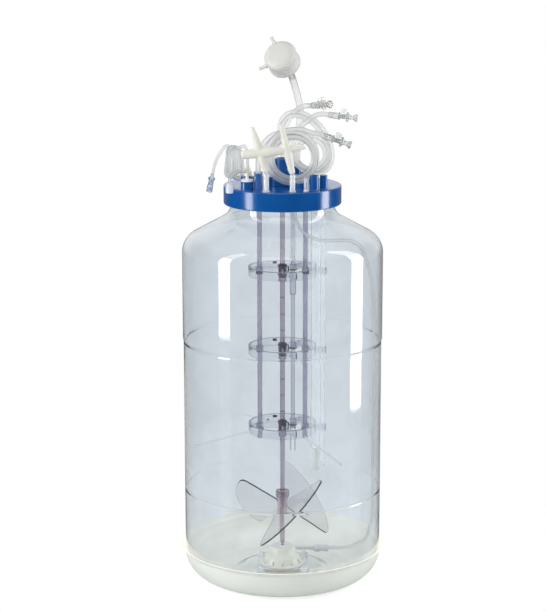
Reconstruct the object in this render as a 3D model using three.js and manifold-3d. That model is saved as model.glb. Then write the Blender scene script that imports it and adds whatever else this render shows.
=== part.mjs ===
// Single-use stirred bioreactor of about 50 litres: a clear bottle in a base cup, closed by a moulded head.
// The head carries the drive, the port stubs and the coiled lines; a shaft with one impeller hangs from it.
// Millimetres, +Z up. The origin is the middle of the cup's foot, and the part stands on z = 0.
import * as THREE from 'three';
import { mergeVertices } from 'three/addons/utils/BufferGeometryUtils.js';
import Module from 'manifold-3d';

const wasm = await Module();
wasm.setup();

// ---- Driving dimensions ----
const GAP = 0.3;               // between pieces that rest on or against each other
const TURN = 40;               // sides of the big round walls
const CUP_HEIGHT = 56;
const CUP_CORNER = 47.5;       // round between the foot and the upright part
const CUP_RIM_FLARE = 7.6;     // how far the rim stands out
const CUP_WALL = 2.6;
const BOTTLE_RADIUS = 165;     // below the upper seam
const BOTTLE_STEP = 1.2;       // the wall above the upper seam stands out by this
const BOTTLE_WALL = 2.5;
const CUP_PROUD = 0.8;         // the cup's upright part stands out past the bottle by this
const CUP_RADIUS = BOTTLE_RADIUS + CUP_PROUD;
const LOW_SEAM = 156;
const HIGH_SEAM = 410;
const SHOULDER_Z = 578;        // where the shoulder's slope meets the wall
const SHOULDER_ROUND = 35;
const NECK_RADIUS = 86;
const NECK_FOOT = 622;
const NECK_TOP = 655;
const PUNT_RADIUS = 66;        // raised middle of the bottle's floor
const PUNT_RISE = 7;
const HEAD_TOP = 669;
const HEAD_RADIUS = 97;
const HEAD_HEIGHT = 31;
const HEAD_PLATE = 8;
const SKIRT_CLEARANCE = 1.5;
const SHAFT_RADIUS = 4;
const SHAFT_LOW = 53;
const SHAFT_TOP = 690;
const RUNNING = 0.5;           // radial play of the shaft in its hubs
const CAGE_RADIUS = 57;
const CAGE_HEIGHT = 15;
const CAGE_WALL = 2;
const CAGE_LEVELS = [525, 391, 257];
const HUB_RADIUS = 7;
const HUB_HEIGHT = 22;
const IMPELLER_RADIUS = 79;
const IMPELLER_Z = 121;
const BLADE_COUNT = 3;
const BLADE_PHASE = 45;        // degrees from +X to the first blade
const BLADE_THICKNESS = 2.6;
const LINE_DIAMETER = 8.2;
const THIN_DIAMETER = 4.8;
const EXHAUST_DIAMETER = 11.4;

const UNDER_PLATE = HEAD_TOP - HEAD_PLATE - GAP;   // top of what hangs from the head
const ON_PLATE = HEAD_TOP + GAP;                   // foot of what stands on the head

// ---- Geometry helpers ----

// A closed solid from a geometry: corners are merged and empty triangles dropped.
function solidOf(geometry) {
  const bare = new THREE.BufferGeometry();
  bare.setAttribute('position', geometry.getAttribute('position').clone());
  if (geometry.index) bare.setIndex(geometry.index.clone());
  const merged = mergeVertices(bare, 1e-4);
  const kept = [];
  const index = merged.index.array;
  for (let i = 0; i < index.length; i += 3) {
    const [a, b, c] = index.subarray(i, i + 3);
    if (a !== b && b !== c && c !== a) kept.push(a, b, c);
  }
  let solid = new wasm.Manifold(new wasm.Mesh({
    numProp: 3, vertProperties: merged.attributes.position.array, triVerts: new Uint32Array(kept),
  }));
  if (solid.volume() < 0) {
    for (let i = 0; i < kept.length; i += 3) [kept[i + 1], kept[i + 2]] = [kept[i + 2], kept[i + 1]];
    solid = new wasm.Manifold(new wasm.Mesh({
      numProp: 3, vertProperties: merged.attributes.position.array, triVerts: new Uint32Array(kept),
    }));
  }
  return solid;
}

function geometryOf(solid) {
  const mesh = solid.getMesh();
  const geometry = new THREE.BufferGeometry();
  geometry.setAttribute('position', new THREE.BufferAttribute(mesh.vertProperties, 3));
  geometry.setIndex(new THREE.BufferAttribute(mesh.triVerts, 1));
  geometry.computeVertexNormals();
  return geometry;
}

const joined = (...solids) => solids.reduce((whole, solid) => whole.add(solid));

// Corners as [x, y] or [x, y, round]; a round corner becomes an arc of a few points.
function roundedProfile(corners, stepAngle = 15) {
  const points = [];
  corners.forEach(([x, y, round = 0], i) => {
    const here = new THREE.Vector2(x, y);
    if (!round || i === 0 || i === corners.length - 1) {
      points.push(here);
      return;
    }
    const before = new THREE.Vector2(...corners[i - 1]).sub(here).normalize();
    const after = new THREE.Vector2(...corners[i + 1]).sub(here).normalize();
    const half = Math.acos(THREE.MathUtils.clamp(before.dot(after), -1, 1)) / 2;
    const centre = before.clone().add(after).normalize().multiplyScalar(round / Math.sin(half)).add(here);
    const from = before.multiplyScalar(round / Math.tan(half)).add(here).sub(centre);
    const to = after.multiplyScalar(round / Math.tan(half)).add(here).sub(centre);
    const sweep = Math.atan2(from.cross(to), from.dot(to));
    const steps = Math.max(2, Math.round(Math.abs(sweep) / THREE.MathUtils.degToRad(stepAngle)));
    for (let k = 0; k <= steps; k++) {
      points.push(from.clone().rotateAround(new THREE.Vector2(), sweep * k / steps).add(centre));
    }
  });
  return points;
}

// The profile moved sideways by a wall's thickness, towards the axis side of its direction of travel.
function offsetProfile(points, wall) {
  const side = (a, b) => new THREE.Vector2(a.y - b.y, b.x - a.x).normalize();
  return points.map((point, i) => {
    const first = side(points[Math.max(i - 1, 0)], points[Math.max(i, 1)]);
    const last = side(points[Math.min(i, points.length - 2)], points[Math.min(i + 1, points.length - 1)]);
    const middle = first.clone().add(last).normalize();
    return middle.multiplyScalar(wall / middle.dot(last)).add(point);
  });
}

// A turned piece about +Z. The profile is [radius, z] points that end on the axis or close on themselves.
function turned(points, sides = 24) {
  const profile = points.map((p) => (p.isVector2 ? p : new THREE.Vector2(p[0], p[1])));
  const closes = profile[0].x < 1e-6 && profile[profile.length - 1].x < 1e-6;
  if (!closes) profile.push(profile[0].clone());
  return new THREE.LatheGeometry(profile, sides).rotateX(Math.PI / 2);
}

const rod = (radius, low, high, sides = 16) =>
  turned([[0, low], [radius, low], [radius, high], [0, high]], sides);

const pipe = (inner, outer, low, high, sides = 20) =>
  turned([[inner, low], [outer, low], [outer, high], [inner, high]], sides);

// A round tube along a smooth curve through the points, with flat ends.
function tubeAlong(points, radius, sides, steps) {
  const ring = [];
  for (let k = 0; k < sides; k++) {
    const turn = 2 * Math.PI * k / sides;
    ring.push(new THREE.Vector2(radius * Math.cos(turn), radius * Math.sin(turn)));
  }
  const path = new THREE.CatmullRomCurve3(points.map((p) => new THREE.Vector3(...p)), false, 'centripetal');
  return new THREE.ExtrudeGeometry(new THREE.Shape(ring), { steps, bevelEnabled: false, extrudePath: path });
}

// Turns a geometry that stands along +Z so that it stands along a direction, with its foot at a place.
function pointed(geometry, foot, direction) {
  const turn = new THREE.Quaternion().setFromUnitVectors(
    new THREE.Vector3(0, 0, 1), new THREE.Vector3(...direction).normalize());
  return geometry.applyQuaternion(turn).translate(...foot);
}

const polar = (radius, degrees) => [
  radius * Math.cos(THREE.MathUtils.degToRad(degrees)),
  radius * Math.sin(THREE.MathUtils.degToRad(degrees)),
];

// ---- Materials ----
const plastic = (color, roughness, opacity = 1) => new THREE.MeshStandardMaterial({
  color, roughness, metalness: 0, opacity, transparent: opacity < 1,
});
const steel = (color, roughness) => new THREE.MeshStandardMaterial({ color, roughness, metalness: 1 });
const CLEAR = () => plastic(0xe6eef4, 0.06, 0.25);
const SMOKE = () => plastic(0x9a90a4, 0.12, 0.6);
const TUBING = () => plastic(0xdfe2e0, 0.2, 0.5);
const BLUE = () => plastic(0x14509c, 0.18);
const IVORY = () => plastic(0xeaeadd, 0.45);
const WHITE = () => plastic(0xe4e8e6, 0.4);

const bioreactor = new THREE.Group();
bioreactor.name = 'bioreactor';

function add(name, geometry, material, group = bioreactor) {
  const mesh = new THREE.Mesh(geometry.isBufferGeometry ? geometry : geometryOf(geometry), material);
  mesh.name = name;
  group.add(mesh);
  return mesh;
}

// ---- Base cup and bottle ----
const CUP_FOOT = CUP_RADIUS - CUP_CORNER;
const ARC_STEP = 22.5;

function baseCup() {
  const outer = roundedProfile([
    [0, 0], [CUP_RADIUS, 0, CUP_CORNER], [CUP_RADIUS, CUP_CORNER + 0.5],
    [CUP_RADIUS + CUP_RIM_FLARE, CUP_HEIGHT],
  ], ARC_STEP);
  const inner = offsetProfile(outer, CUP_WALL).reverse();
  inner[0].y = CUP_HEIGHT;
  return turned([...outer, ...inner], TURN);
}

// The bottle's corner lies inside the cup's corner, about the same middle.
const BOTTLE_FLOOR = CUP_WALL + GAP;
const BOTTLE_CORNER = CUP_CORNER - BOTTLE_FLOOR;
const PUNT_SLOPE = 14;
const SEAM_HALF = 2;

function bottleProfile(seams) {
  const low = CUP_FOOT + BOTTLE_CORNER;
  const high = BOTTLE_RADIUS + BOTTLE_STEP;
  const grooves = [
    [BOTTLE_RADIUS, LOW_SEAM - SEAM_HALF],
    [BOTTLE_RADIUS - 1, LOW_SEAM],
    [BOTTLE_RADIUS, LOW_SEAM + SEAM_HALF],
    [BOTTLE_RADIUS, HIGH_SEAM - SEAM_HALF],
    [BOTTLE_RADIUS - 1, HIGH_SEAM],
  ];
  return roundedProfile([
    [0, BOTTLE_FLOOR + PUNT_RISE],
    [PUNT_RADIUS, BOTTLE_FLOOR + PUNT_RISE],
    [PUNT_RADIUS + PUNT_SLOPE, BOTTLE_FLOOR],
    [low, BOTTLE_FLOOR, BOTTLE_CORNER],
    [low, CUP_CORNER + 1.6],
    [BOTTLE_RADIUS, CUP_HEIGHT + 4],
    ...(seams ? grooves : [[BOTTLE_RADIUS, HIGH_SEAM - SEAM_HALF]]),
    [high, HIGH_SEAM + SEAM_HALF],
    [high, SHOULDER_Z, SHOULDER_ROUND],
    [NECK_RADIUS, NECK_FOOT, 8],
    [NECK_RADIUS, NECK_TOP],
  ], ARC_STEP);
}

// The seams are pressed into the outside only.
function bottle() {
  const inner = offsetProfile(bottleProfile(false), BOTTLE_WALL).reverse();
  inner[inner.length - 1].x = 0;
  return turned([...bottleProfile(true), ...inner], TURN);
}

add('base_cup', baseCup(), WHITE());
add('vessel_bottle', bottle(), CLEAR());
add('mouth_gasket', pipe(
  NECK_RADIUS - BOTTLE_WALL, NECK_RADIUS, NECK_TOP + GAP, HEAD_TOP - HEAD_PLATE - GAP, 40), plastic(0xd8d8d4, 0.6));

// ---- Head cap: plate, skirt and the stubs moulded on it ----
// Each stub: place, radius, height of its top above the origin, radius of its bore (0 is capped).
const THIN_BORE = 1.9;
const DISC_STUB = { x: -57, y: -62, radius: 10.5, top: 683, bore: 4 };
const SAMPLE_STUB = { x: -57, y: -28, radius: 11, top: 687, bore: THIN_BORE };
const SLEEVE_STUB = { x: -39, y: -68, radius: 5.3, top: 697, bore: THIN_BORE };
const FRONT_STUB = { x: 28, y: -56, radius: 7, top: 679.6, bore: 0 };
const RIGHT_STUB = { x: 51, y: -62, radius: 7.3, top: 693, bore: 0 };
const END_STUB = { x: 66.5, y: -50, radius: 6.1, top: 692, bore: 0 };
const EXHAUST_STUB = { x: 24, y: 72, radius: 7, top: 690, bore: THIN_BORE };
const MIDDLE_REST = 672.7;     // tops of the two stubs that the rear coils stand on
const REAR_REST = 681;

// ---- Coils: each is a ring that stands upright, its axis along Y ----
const COIL_HALF = LINE_DIAMETER / 2;
const coil = (x, y, radius, narrow, width, foot) => ({
  x, y, radius, width, inner: narrow - COIL_HALF, outer: radius + COIL_HALF,
  z: foot + GAP + radius + COIL_HALF,
});
const FRONT_COIL = coil(22, -41.9, 38, 30, 25, FRONT_STUB.top);
const MIDDLE_COIL = coil(44, 38.4, 43, 37, 16.8, MIDDLE_REST);
const REAR_COIL = coil(37, 56, 47, 42, 16.8, REAR_REST);

const restStub = (ring, top) => ({ x: ring.x, y: ring.y, radius: 7, top, bore: 0 });

// A line rises from this stub straight into the left side of its ring; the stub's top stays clear of it.
function feedStub(ring, radius = 6) {
  const x = ring.x - ring.radius;
  const reach = ring.outer + GAP;
  const edge = ring.x - (x + radius);
  return { x, y: ring.y, radius, top: ring.z - Math.sqrt(reach ** 2 - edge ** 2) - GAP, bore: THIN_BORE };
}

const STUBS = [
  DISC_STUB, SAMPLE_STUB, SLEEVE_STUB, FRONT_STUB, RIGHT_STUB, END_STUB, EXHAUST_STUB,
  restStub(MIDDLE_COIL, MIDDLE_REST), restStub(REAR_COIL, REAR_REST), feedStub(MIDDLE_COIL), feedStub(REAR_COIL),
];
const SHAFT_HOLE = SHAFT_RADIUS + 1.5;

function headCap() {
  const plateFoot = HEAD_TOP - HEAD_PLATE;
  const skirt = NECK_RADIUS + SKIRT_CLEARANCE;
  const low = HEAD_TOP - HEAD_HEIGHT;
  const profile = roundedProfile([
    [SHAFT_HOLE, plateFoot], [skirt, plateFoot], [skirt, low], [HEAD_RADIUS, low, 2],
    [HEAD_RADIUS, HEAD_TOP, 1.5], [SHAFT_HOLE, HEAD_TOP],
  ], 60);
  let cap = solidOf(turned(profile, TURN));
  for (const stub of STUBS) {
    const bevel = 0.8;
    const body = turned([
      [0, HEAD_TOP - 2], [stub.radius, HEAD_TOP - 2], [stub.radius, stub.top - bevel],
      [stub.radius - bevel, stub.top], [0, stub.top],
    ], 16);
    cap = cap.add(solidOf(body.translate(stub.x, stub.y, 0)));
  }
  for (const stub of STUBS.filter((each) => each.bore > 0)) {
    const hole = rod(stub.bore, plateFoot - 1, stub.top + 1, 12).translate(stub.x, stub.y, 0);
    cap = cap.subtract(solidOf(hole));
  }
  return cap;
}

add('head_cap', headCap(), BLUE());

// ---- Drive housing with its bearing, on the middle of the plate ----
const HOUSING_RADIUS = 28;
const HOUSING_STEP = 684;
const HOUSING_TOP = 712.5;
const TOWER_RADIUS = 12.5;
const DRIVE_BORE = 8.6;
const BEARING_RADIUS = 18.5;
const BEARING_HEIGHT = 9;

function driveHousing() {
  const seat = BEARING_RADIUS + GAP;
  const seatTop = ON_PLATE + BEARING_HEIGHT + 2 * GAP;
  return turned(roundedProfile([
    [seat, ON_PLATE], [HOUSING_RADIUS, ON_PLATE], [HOUSING_RADIUS, HOUSING_STEP, 2],
    [TOWER_RADIUS, HOUSING_STEP, 2], [TOWER_RADIUS, HOUSING_TOP, 1],
    [DRIVE_BORE, HOUSING_TOP], [DRIVE_BORE, seatTop], [seat, seatTop],
  ], 60), 28);
}

add('drive_housing', driveHousing(), BLUE());
add('upper_bearing', pipe(SHAFT_RADIUS + RUNNING, BEARING_RADIUS, ON_PLATE, ON_PLATE + BEARING_HEIGHT, 28),
  steel(0xb8bcc0, 0.3));

// ---- What stands on the plate ----
const PORT_RADIUS = 4.5;
const PORT_BORE = 3.3;
const LEFT_PORT = { x: -26, y: -82, top: 700 };
const RIGHT_PORT = { x: 16, y: -82, top: 697 };
const POST = { x: 38, y: -74, radius: 3.9, top: 690 };

for (const [name, port] of [['left_clear_port', LEFT_PORT], ['right_clear_port', RIGHT_PORT]]) {
  const tube = add(name, pipe(PORT_BORE, PORT_RADIUS, ON_PLATE, port.top, 16), CLEAR());
  tube.position.set(port.x, port.y, 0);
}
const post = add('light_post', turned(roundedProfile([
  [0, ON_PLATE], [POST.radius, ON_PLATE], [POST.radius, POST.top, 1.2], [0, POST.top],
], 45), 14), plastic(0xcfd2d8, 0.3));
post.position.set(POST.x, POST.y, 0);

const sleeve = add('port_sleeve', pipe(
  SLEEVE_STUB.radius + GAP, SLEEVE_STUB.radius + GAP + 1.9, ON_PLATE, SLEEVE_STUB.top + 3, 18), CLEAR());
sleeve.position.set(SLEEVE_STUB.x, SLEEVE_STUB.y, 0);

function discPlug() {
  const foot = DISC_STUB.top + GAP;
  return turned(roundedProfile([
    [0, foot - 12], [DISC_STUB.bore - 0.4, foot - 12], [DISC_STUB.bore - 0.4, foot],
    [9.9, foot], [9.9, foot + 3.2, 0.8], [2.8, foot + 3.2], [2.5, foot + 13, 1], [0, foot + 13],
  ], 60), 16);
}
add('disc_plug', discPlug(), WHITE()).position.set(DISC_STUB.x, DISC_STUB.y, 0);

// The soft one-piece holder: two tapered posts plugged on the clear ports and a tapered bar across them.
function spindle(from, to, low, middle, high, widest = 0.45) {
  const start = new THREE.Vector3(...from);
  const along = new THREE.Vector3(...to).sub(start);
  const length = along.length();
  const profile = roundedProfile([
    [0, 0], [low, 0, low * 0.5], [middle, length * widest, 20], [high, length, high * 0.8], [0, length],
  ], 45);
  return solidOf(pointed(turned(profile, 12), from, along.toArray()));
}
const HOLDER_Y = LEFT_PORT.y;
const HOLDER_LIFT = 1;         // the leaning posts' feet just clear the ports

function coilHolder() {
  const left = spindle([LEFT_PORT.x, HOLDER_Y, LEFT_PORT.top + HOLDER_LIFT], [-48.6, HOLDER_Y, 774], 4.6, 6.8, 3);
  const right = spindle([RIGHT_PORT.x, HOLDER_Y, RIGHT_PORT.top + HOLDER_LIFT], [-2.4, HOLDER_Y, 778], 4.6, 6.4, 3);
  const bar = spindle([-66.5, HOLDER_Y, 727.5], [36, HOLDER_Y, 741], 5.4, 7.2, 2.1, 0.6);
  return joined(left, right, bar);
}
add('coil_holder', coilHolder(), IVORY());

// Sampling fitting on its stub, with a side outlet for the short line.
const FITTING_TOP = SAMPLE_STUB.top + 17;
const OUTLET_Z = SAMPLE_STUB.top + 9;
const OUTLET_REACH = 10;
const OUTLET_WAY = new THREE.Vector3(-1, -1, 0).normalize();

function samplingFitting() {
  const body = solidOf(turned(roundedProfile([
    [0, SAMPLE_STUB.top + GAP], [7, SAMPLE_STUB.top + GAP], [7, SAMPLE_STUB.top + 8, 1], [5, SAMPLE_STUB.top + 9],
    [5, FITTING_TOP - 4], [3.4, FITTING_TOP - 3], [3.4, FITTING_TOP], [0, FITTING_TOP],
  ], 45), 18));
  const outlet = solidOf(pointed(rod(2.6, 0, OUTLET_REACH, 12), [0, 0, OUTLET_Z], OUTLET_WAY.toArray()));
  return joined(body, outlet);
}
add('sampling_fitting', samplingFitting(), IVORY()).position.set(SAMPLE_STUB.x, SAMPLE_STUB.y, 0);

// ---- Shaft, coupling and impeller: they turn together ----
const HUB_CLEAR = 0.6;
const TIP_RADIUS = 2.4;
const TIP_LOW = 31;

function shaft() {
  const collar = SHAFT_RADIUS + 2.6;
  const points = [
    [0, TIP_LOW], [TIP_RADIUS, TIP_LOW + 1], [TIP_RADIUS, SHAFT_LOW], [SHAFT_RADIUS, SHAFT_LOW],
  ];
  for (const level of [...CAGE_LEVELS].reverse()) {
    const top = level - HUB_HEIGHT / 2 - HUB_CLEAR;
    points.push([SHAFT_RADIUS, top - 5], [collar, top - 5], [collar, top], [SHAFT_RADIUS, top]);
  }
  points.push([SHAFT_RADIUS, SHAFT_TOP], [0, SHAFT_TOP]);
  return turned(points, 14);
}
add('agitator_shaft', shaft(), SMOKE());

const SOCKET_FLAT = 4;         // half of the width across the socket's flats
const COUPLING_TOP = 709;

function driveCoupling() {
  const body = solidOf(rod(DRIVE_BORE - RUNNING, SHAFT_TOP + GAP, COUPLING_TOP, 20));
  const socket = solidOf(rod(SOCKET_FLAT / Math.cos(Math.PI / 6), COUPLING_TOP - 14, COUPLING_TOP + 1, 6));
  return body.subtract(socket);
}
add('drive_coupling', driveCoupling(), steel(0x9aa0a6, 0.35));

// The blades are flat wide ears pitched at 45 degrees, trimmed to the sweep's radius.
const BLADE_ROOT = SHAFT_RADIUS + 3;
const ROOT_HALF = 14;          // half widths, measured in the blade's own plane
const EAR_HALF = 80;
const EAR_ROUND = 6;

function blade(degrees) {
  const tip = (across) => Math.sqrt(IMPELLER_RADIUS ** 2 - across ** 2 / 2);
  const corners = [[BLADE_ROOT, 0], [BLADE_ROOT, -ROOT_HALF], [tip(EAR_HALF), -EAR_HALF, EAR_ROUND]];
  for (const part of [-0.6, -0.3, 0, 0.3, 0.6]) corners.push([tip(part * EAR_HALF), part * EAR_HALF]);
  corners.push([tip(EAR_HALF), EAR_HALF, EAR_ROUND], [BLADE_ROOT, ROOT_HALF], [BLADE_ROOT, 0]);
  const outline = new THREE.Shape(roundedProfile(corners, 25).slice(0, -1));
  const plate = new THREE.ExtrudeGeometry(outline, { depth: BLADE_THICKNESS, bevelEnabled: false });
  plate.translate(0, 0, -BLADE_THICKNESS / 2).rotateX(Math.PI / 4);
  return solidOf(plate.rotateZ(THREE.MathUtils.degToRad(degrees)).translate(0, 0, IMPELLER_Z));
}

function impeller() {
  const hub = solidOf(turned(roundedProfile([
    [0, IMPELLER_Z - 22], [9, IMPELLER_Z - 22], [9, IMPELLER_Z + 11], [11, IMPELLER_Z + 13],
    [11, IMPELLER_Z + 24, 2], [0, IMPELLER_Z + 24],
  ], 45), 20));
  const bore = solidOf(rod(SHAFT_RADIUS + GAP, 60, 160, 14));
  const blades = [];
  for (let k = 0; k < BLADE_COUNT; k++) blades.push(blade(BLADE_PHASE + 360 * k / BLADE_COUNT));
  return joined(hub, ...blades).subtract(bore);
}
add('impeller', impeller(), plastic(0xb4b4bc, 0.1, 0.5));

// ---- Cage rings, dip tubes and what hangs between them ----
const LEFT_DIP = { x: -38, y: 2, radius: 4.1, low: 236 };
const RIGHT_DIP = { x: 38, y: 2, radius: 4.1, low: 236 };
const MIDDLE_DIP = { x: 17.5, y: 30, radius: 3.4, low: 246 };
const SIDE_TUBE = { x: 67, y: -5, radius: 4.5, low: 190 };
const SOCKET_WALL = 1.6;
const SOCKET_PLAY = 0.4;

function cageRing(level) {
  const low = -CAGE_HEIGHT / 2;
  const high = CAGE_HEIGHT / 2;
  const parts = [
    solidOf(pipe(CAGE_RADIUS - CAGE_WALL, CAGE_RADIUS, low, high, 36)),
    solidOf(rod(HUB_RADIUS, -HUB_HEIGHT / 2, HUB_HEIGHT / 2, 14)),
  ];
  // Curved webs: thin arcs from the hub to the band.
  for (const start of [20, 140, 260]) {
    const arc = new THREE.Shape();
    const inner = [];
    const outer = [];
    for (let k = 0; k <= 5; k++) {
      const radius = THREE.MathUtils.lerp(HUB_RADIUS - 1, CAGE_RADIUS - CAGE_WALL / 2, k / 5);
      const turn = start + 34 * Math.sin(Math.PI * k / 10);
      const [x, y] = polar(radius, turn);
      const [nx, ny] = polar(0.9, turn + 90);
      inner.push(new THREE.Vector2(x - nx, y - ny));
      outer.unshift(new THREE.Vector2(x + nx, y + ny));
    }
    arc.setFromPoints([...inner, ...outer]);
    const web = new THREE.ExtrudeGeometry(arc, { depth: CAGE_HEIGHT - 5, bevelEnabled: false });
    parts.push(solidOf(web.translate(0, 0, -(CAGE_HEIGHT - 5) / 2)));
  }
  const holes = [solidOf(rod(SHAFT_RADIUS + RUNNING, -20, 20, 14))];
  for (const tube of [LEFT_DIP, RIGHT_DIP, MIDDLE_DIP, SIDE_TUBE]) {
    const reach = Math.hypot(tube.x, tube.y);
    const arm = new THREE.BoxGeometry(Math.abs(CAGE_RADIUS - 1 - reach), 1.8, 8);
    arm.translate((reach + CAGE_RADIUS - 1) / 2, 0, 0).rotateZ(Math.atan2(tube.y, tube.x));
    parts.push(solidOf(arm));
    const place = [tube.x, tube.y, 0];
    parts.push(solidOf(rod(tube.radius + SOCKET_PLAY + SOCKET_WALL, -5, 5, 12).translate(...place)));
    holes.push(solidOf(rod(tube.radius + SOCKET_PLAY, -20, 20, 12).translate(...place)));
  }
  let ring = joined(...parts);
  for (const hole of holes) ring = ring.subtract(hole);
  add(`cage_ring_${CAGE_LEVELS.indexOf(level) + 1}`, ring, plastic(0xcfd6e2, 0.08, 0.4)).position.z = level;
}
CAGE_LEVELS.forEach(cageRing);

for (const [name, tube] of [['left_dip_tube', LEFT_DIP], ['right_dip_tube', RIGHT_DIP]]) {
  add(name, pipe(tube.radius - 1.2, tube.radius, tube.low, UNDER_PLATE, 16), SMOKE())
    .position.set(tube.x, tube.y, 0);
}
add('side_tube', pipe(SIDE_TUBE.radius - 1.2, SIDE_TUBE.radius, SIDE_TUBE.low, UNDER_PLATE, 14), CLEAR())
  .position.set(SIDE_TUBE.x, SIDE_TUBE.y, 0);

const PRONG_LOW = 206;
const PRONG_APART = 3.7;
const SLEEVE_ROUND = 5.2;
function middleDip() {
  const prong = (x) => solidOf(rod(1.2, PRONG_LOW, MIDDLE_DIP.low + 1, 10).translate(x, 0, 0));
  return joined(
    solidOf(rod(MIDDLE_DIP.radius, MIDDLE_DIP.low + 1, UNDER_PLATE, 14)),
    solidOf(rod(SLEEVE_ROUND, MIDDLE_DIP.low, MIDDLE_DIP.low + 5, 14)),
    solidOf(rod(SLEEVE_ROUND, 478, 515, 14)),
    prong(-PRONG_APART), prong(PRONG_APART));
}
add('middle_dip_tube', middleDip(), SMOKE()).position.set(MIDDLE_DIP.x, MIDDLE_DIP.y, 0);
const middleSleeve = add('middle_sleeve', pipe(
  MIDDLE_DIP.radius + GAP + 0.1, MIDDLE_DIP.radius + 1.9, 537, UNDER_PLATE, 14), CLEAR());
middleSleeve.position.set(MIDDLE_DIP.x, MIDDLE_DIP.y, 0);

// The wide clear tube passes between the cage and the neck.
const WIDE_RADIUS = 8.4;
const WIDE_PLACE = polar(CAGE_RADIUS + WIDE_RADIUS + 0.8, -34);
const TIP_LOWEST = 187;        // clear of the blades' upper corners
const TIP_TOP = 225;
const wideTube = add('filter_tube', pipe(WIDE_RADIUS - 1.2, WIDE_RADIUS, TIP_TOP + GAP, UNDER_PLATE, 20), CLEAR());
wideTube.position.set(...WIDE_PLACE, 0);
const filterTip = add('filter_tip', turned(roundedProfile([
  [0, TIP_LOWEST], [WIDE_RADIUS - 1, TIP_LOWEST, 2], [WIDE_RADIUS - 1, TIP_TOP, 1], [0, TIP_TOP],
], 45), 16), WHITE());
filterTip.position.set(...WIDE_PLACE, 0);

// Stay rods reach from the lowest ring to just short of the wall.
const STAYS = [
  { name: 'stay_rod_left', turn: 200, reach: 155, high: 254, low: 238 },
  { name: 'stay_rod_right', turn: -50, reach: 148, high: 251, low: 224 },
  { name: 'stay_rod_rear', turn: 115, reach: 155, high: 254, low: 238 },
];
for (const stay of STAYS) {
  const start = new THREE.Vector3(...polar(CAGE_RADIUS + 2 * GAP, stay.turn), stay.high);
  const end = new THREE.Vector3(...polar(stay.reach, stay.turn), stay.low);
  const way = end.clone().sub(start);
  add(stay.name, pointed(rod(1.7, 0.25, way.length(), 10), start.toArray(), way.toArray()), SMOKE());
}

// ---- Lower bearing on the bottle's raised floor ----
const FLOOR = BOTTLE_FLOOR + PUNT_RISE + BOTTLE_WALL + GAP;
const BASE_SIDE = 84;
const BASE_THICK = 2.4;
const BOSS_PLACE = 38;
const CONE_TOP = 46;
const CONE_RADIUS = 37;
const BUSH_RADIUS = 7;

function bearingBase() {
  const square = new THREE.Shape(roundedProfile([
    [0, -BASE_SIDE / 2], [BASE_SIDE / 2, -BASE_SIDE / 2, 9], [BASE_SIDE / 2, BASE_SIDE / 2, 9],
    [-BASE_SIDE / 2, BASE_SIDE / 2, 9], [-BASE_SIDE / 2, -BASE_SIDE / 2, 9], [0, -BASE_SIDE / 2],
  ], 22.5).slice(0, -1));
  let base = solidOf(new THREE.ExtrudeGeometry(square, { depth: BASE_THICK, bevelEnabled: false }));
  for (const x of [-BOSS_PLACE, BOSS_PLACE]) {
    for (const y of [-BOSS_PLACE, BOSS_PLACE]) {
      base = base.add(solidOf(rod(6.5, 0.5, BASE_THICK + 5, 16).translate(x, y, 0)));
    }
  }
  return base;
}
add('bearing_base', bearingBase(), CLEAR()).position.z = FLOOR;

function bearingCone() {
  const foot = FLOOR + BASE_THICK + GAP;
  return turned(roundedProfile([
    [0, foot], [CONE_RADIUS, foot], [CONE_RADIUS, foot + 3, 1], [CONE_RADIUS - 4, foot + 4],
    [20, CONE_TOP, 2], [BUSH_RADIUS + GAP, CONE_TOP], [BUSH_RADIUS + GAP, TIP_LOW - 3], [0, TIP_LOW - 3],
  ], 60), 24);
}
add('lower_bearing', bearingCone(), IVORY());
add('bearing_bush', turned([
  [0, TIP_LOW - 3 + GAP], [BUSH_RADIUS, TIP_LOW - 3 + GAP], [BUSH_RADIUS, CONE_TOP + 1.5],
  [TIP_RADIUS + RUNNING, CONE_TOP + 1.5], [TIP_RADIUS + RUNNING, TIP_LOW - GAP], [0, TIP_LOW - GAP],
], 20), plastic(0xd6d6d2, 0.4));

// ---- Sparge tube: down the wall to a fitting on the floor ----
const SPARGE_RADIUS = 2.6;
const SPARGE_Y = 33;
const SPARGE_Z = 30;
const SPARGE_END = 79;
const SPARGE_INSET = 11;        // from the wall to the tube's middle, on the long upright run
const slopeSpan = BOTTLE_RADIUS + BOTTLE_STEP - NECK_RADIUS;

// A point of the tube that lies a given drop below the shoulder's slope.
function underShoulder(x, y, drop) {
  const share = (Math.hypot(x, y) - NECK_RADIUS) / slopeSpan;
  return [x, y, NECK_FOOT - share * (NECK_FOOT - SHOULDER_Z) - drop];
}

const WALL_X = BOTTLE_RADIUS - SPARGE_INSET;
const SPARGE_ROUTE = [
  [19, -40, UNDER_PLATE], [19, -40, NECK_TOP - 13], [21, -42, NECK_FOOT], [30, -49, NECK_FOOT - 21],
  [45, -53, NECK_FOOT - 32], underShoulder(64, -54, 39.2), underShoulder(88, -48, 31.2),
  underShoulder(WALL_X - 45, -38, 24.9), underShoulder(WALL_X - 28, -24, 27.8),
  underShoulder(WALL_X - 16, -10, 48.3), underShoulder(WALL_X - 7, 0, 78.5), underShoulder(WALL_X - 2, 4, 120.8),
  [WALL_X, 6, 400], [WALL_X, 8, 300], [WALL_X, 10, 200], [WALL_X, 12, 120], [WALL_X - 2, 15, 80],
  [142, 20, 52], [124, 26, 37], [104, 31, 31], [90, SPARGE_Y, SPARGE_Z], [SPARGE_END + GAP, SPARGE_Y, SPARGE_Z],
];
add('sparge_tube', tubeAlong(SPARGE_ROUTE, SPARGE_RADIUS, 8, 34), plastic(0xe0e4e6, 0.25, 0.6));

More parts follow.
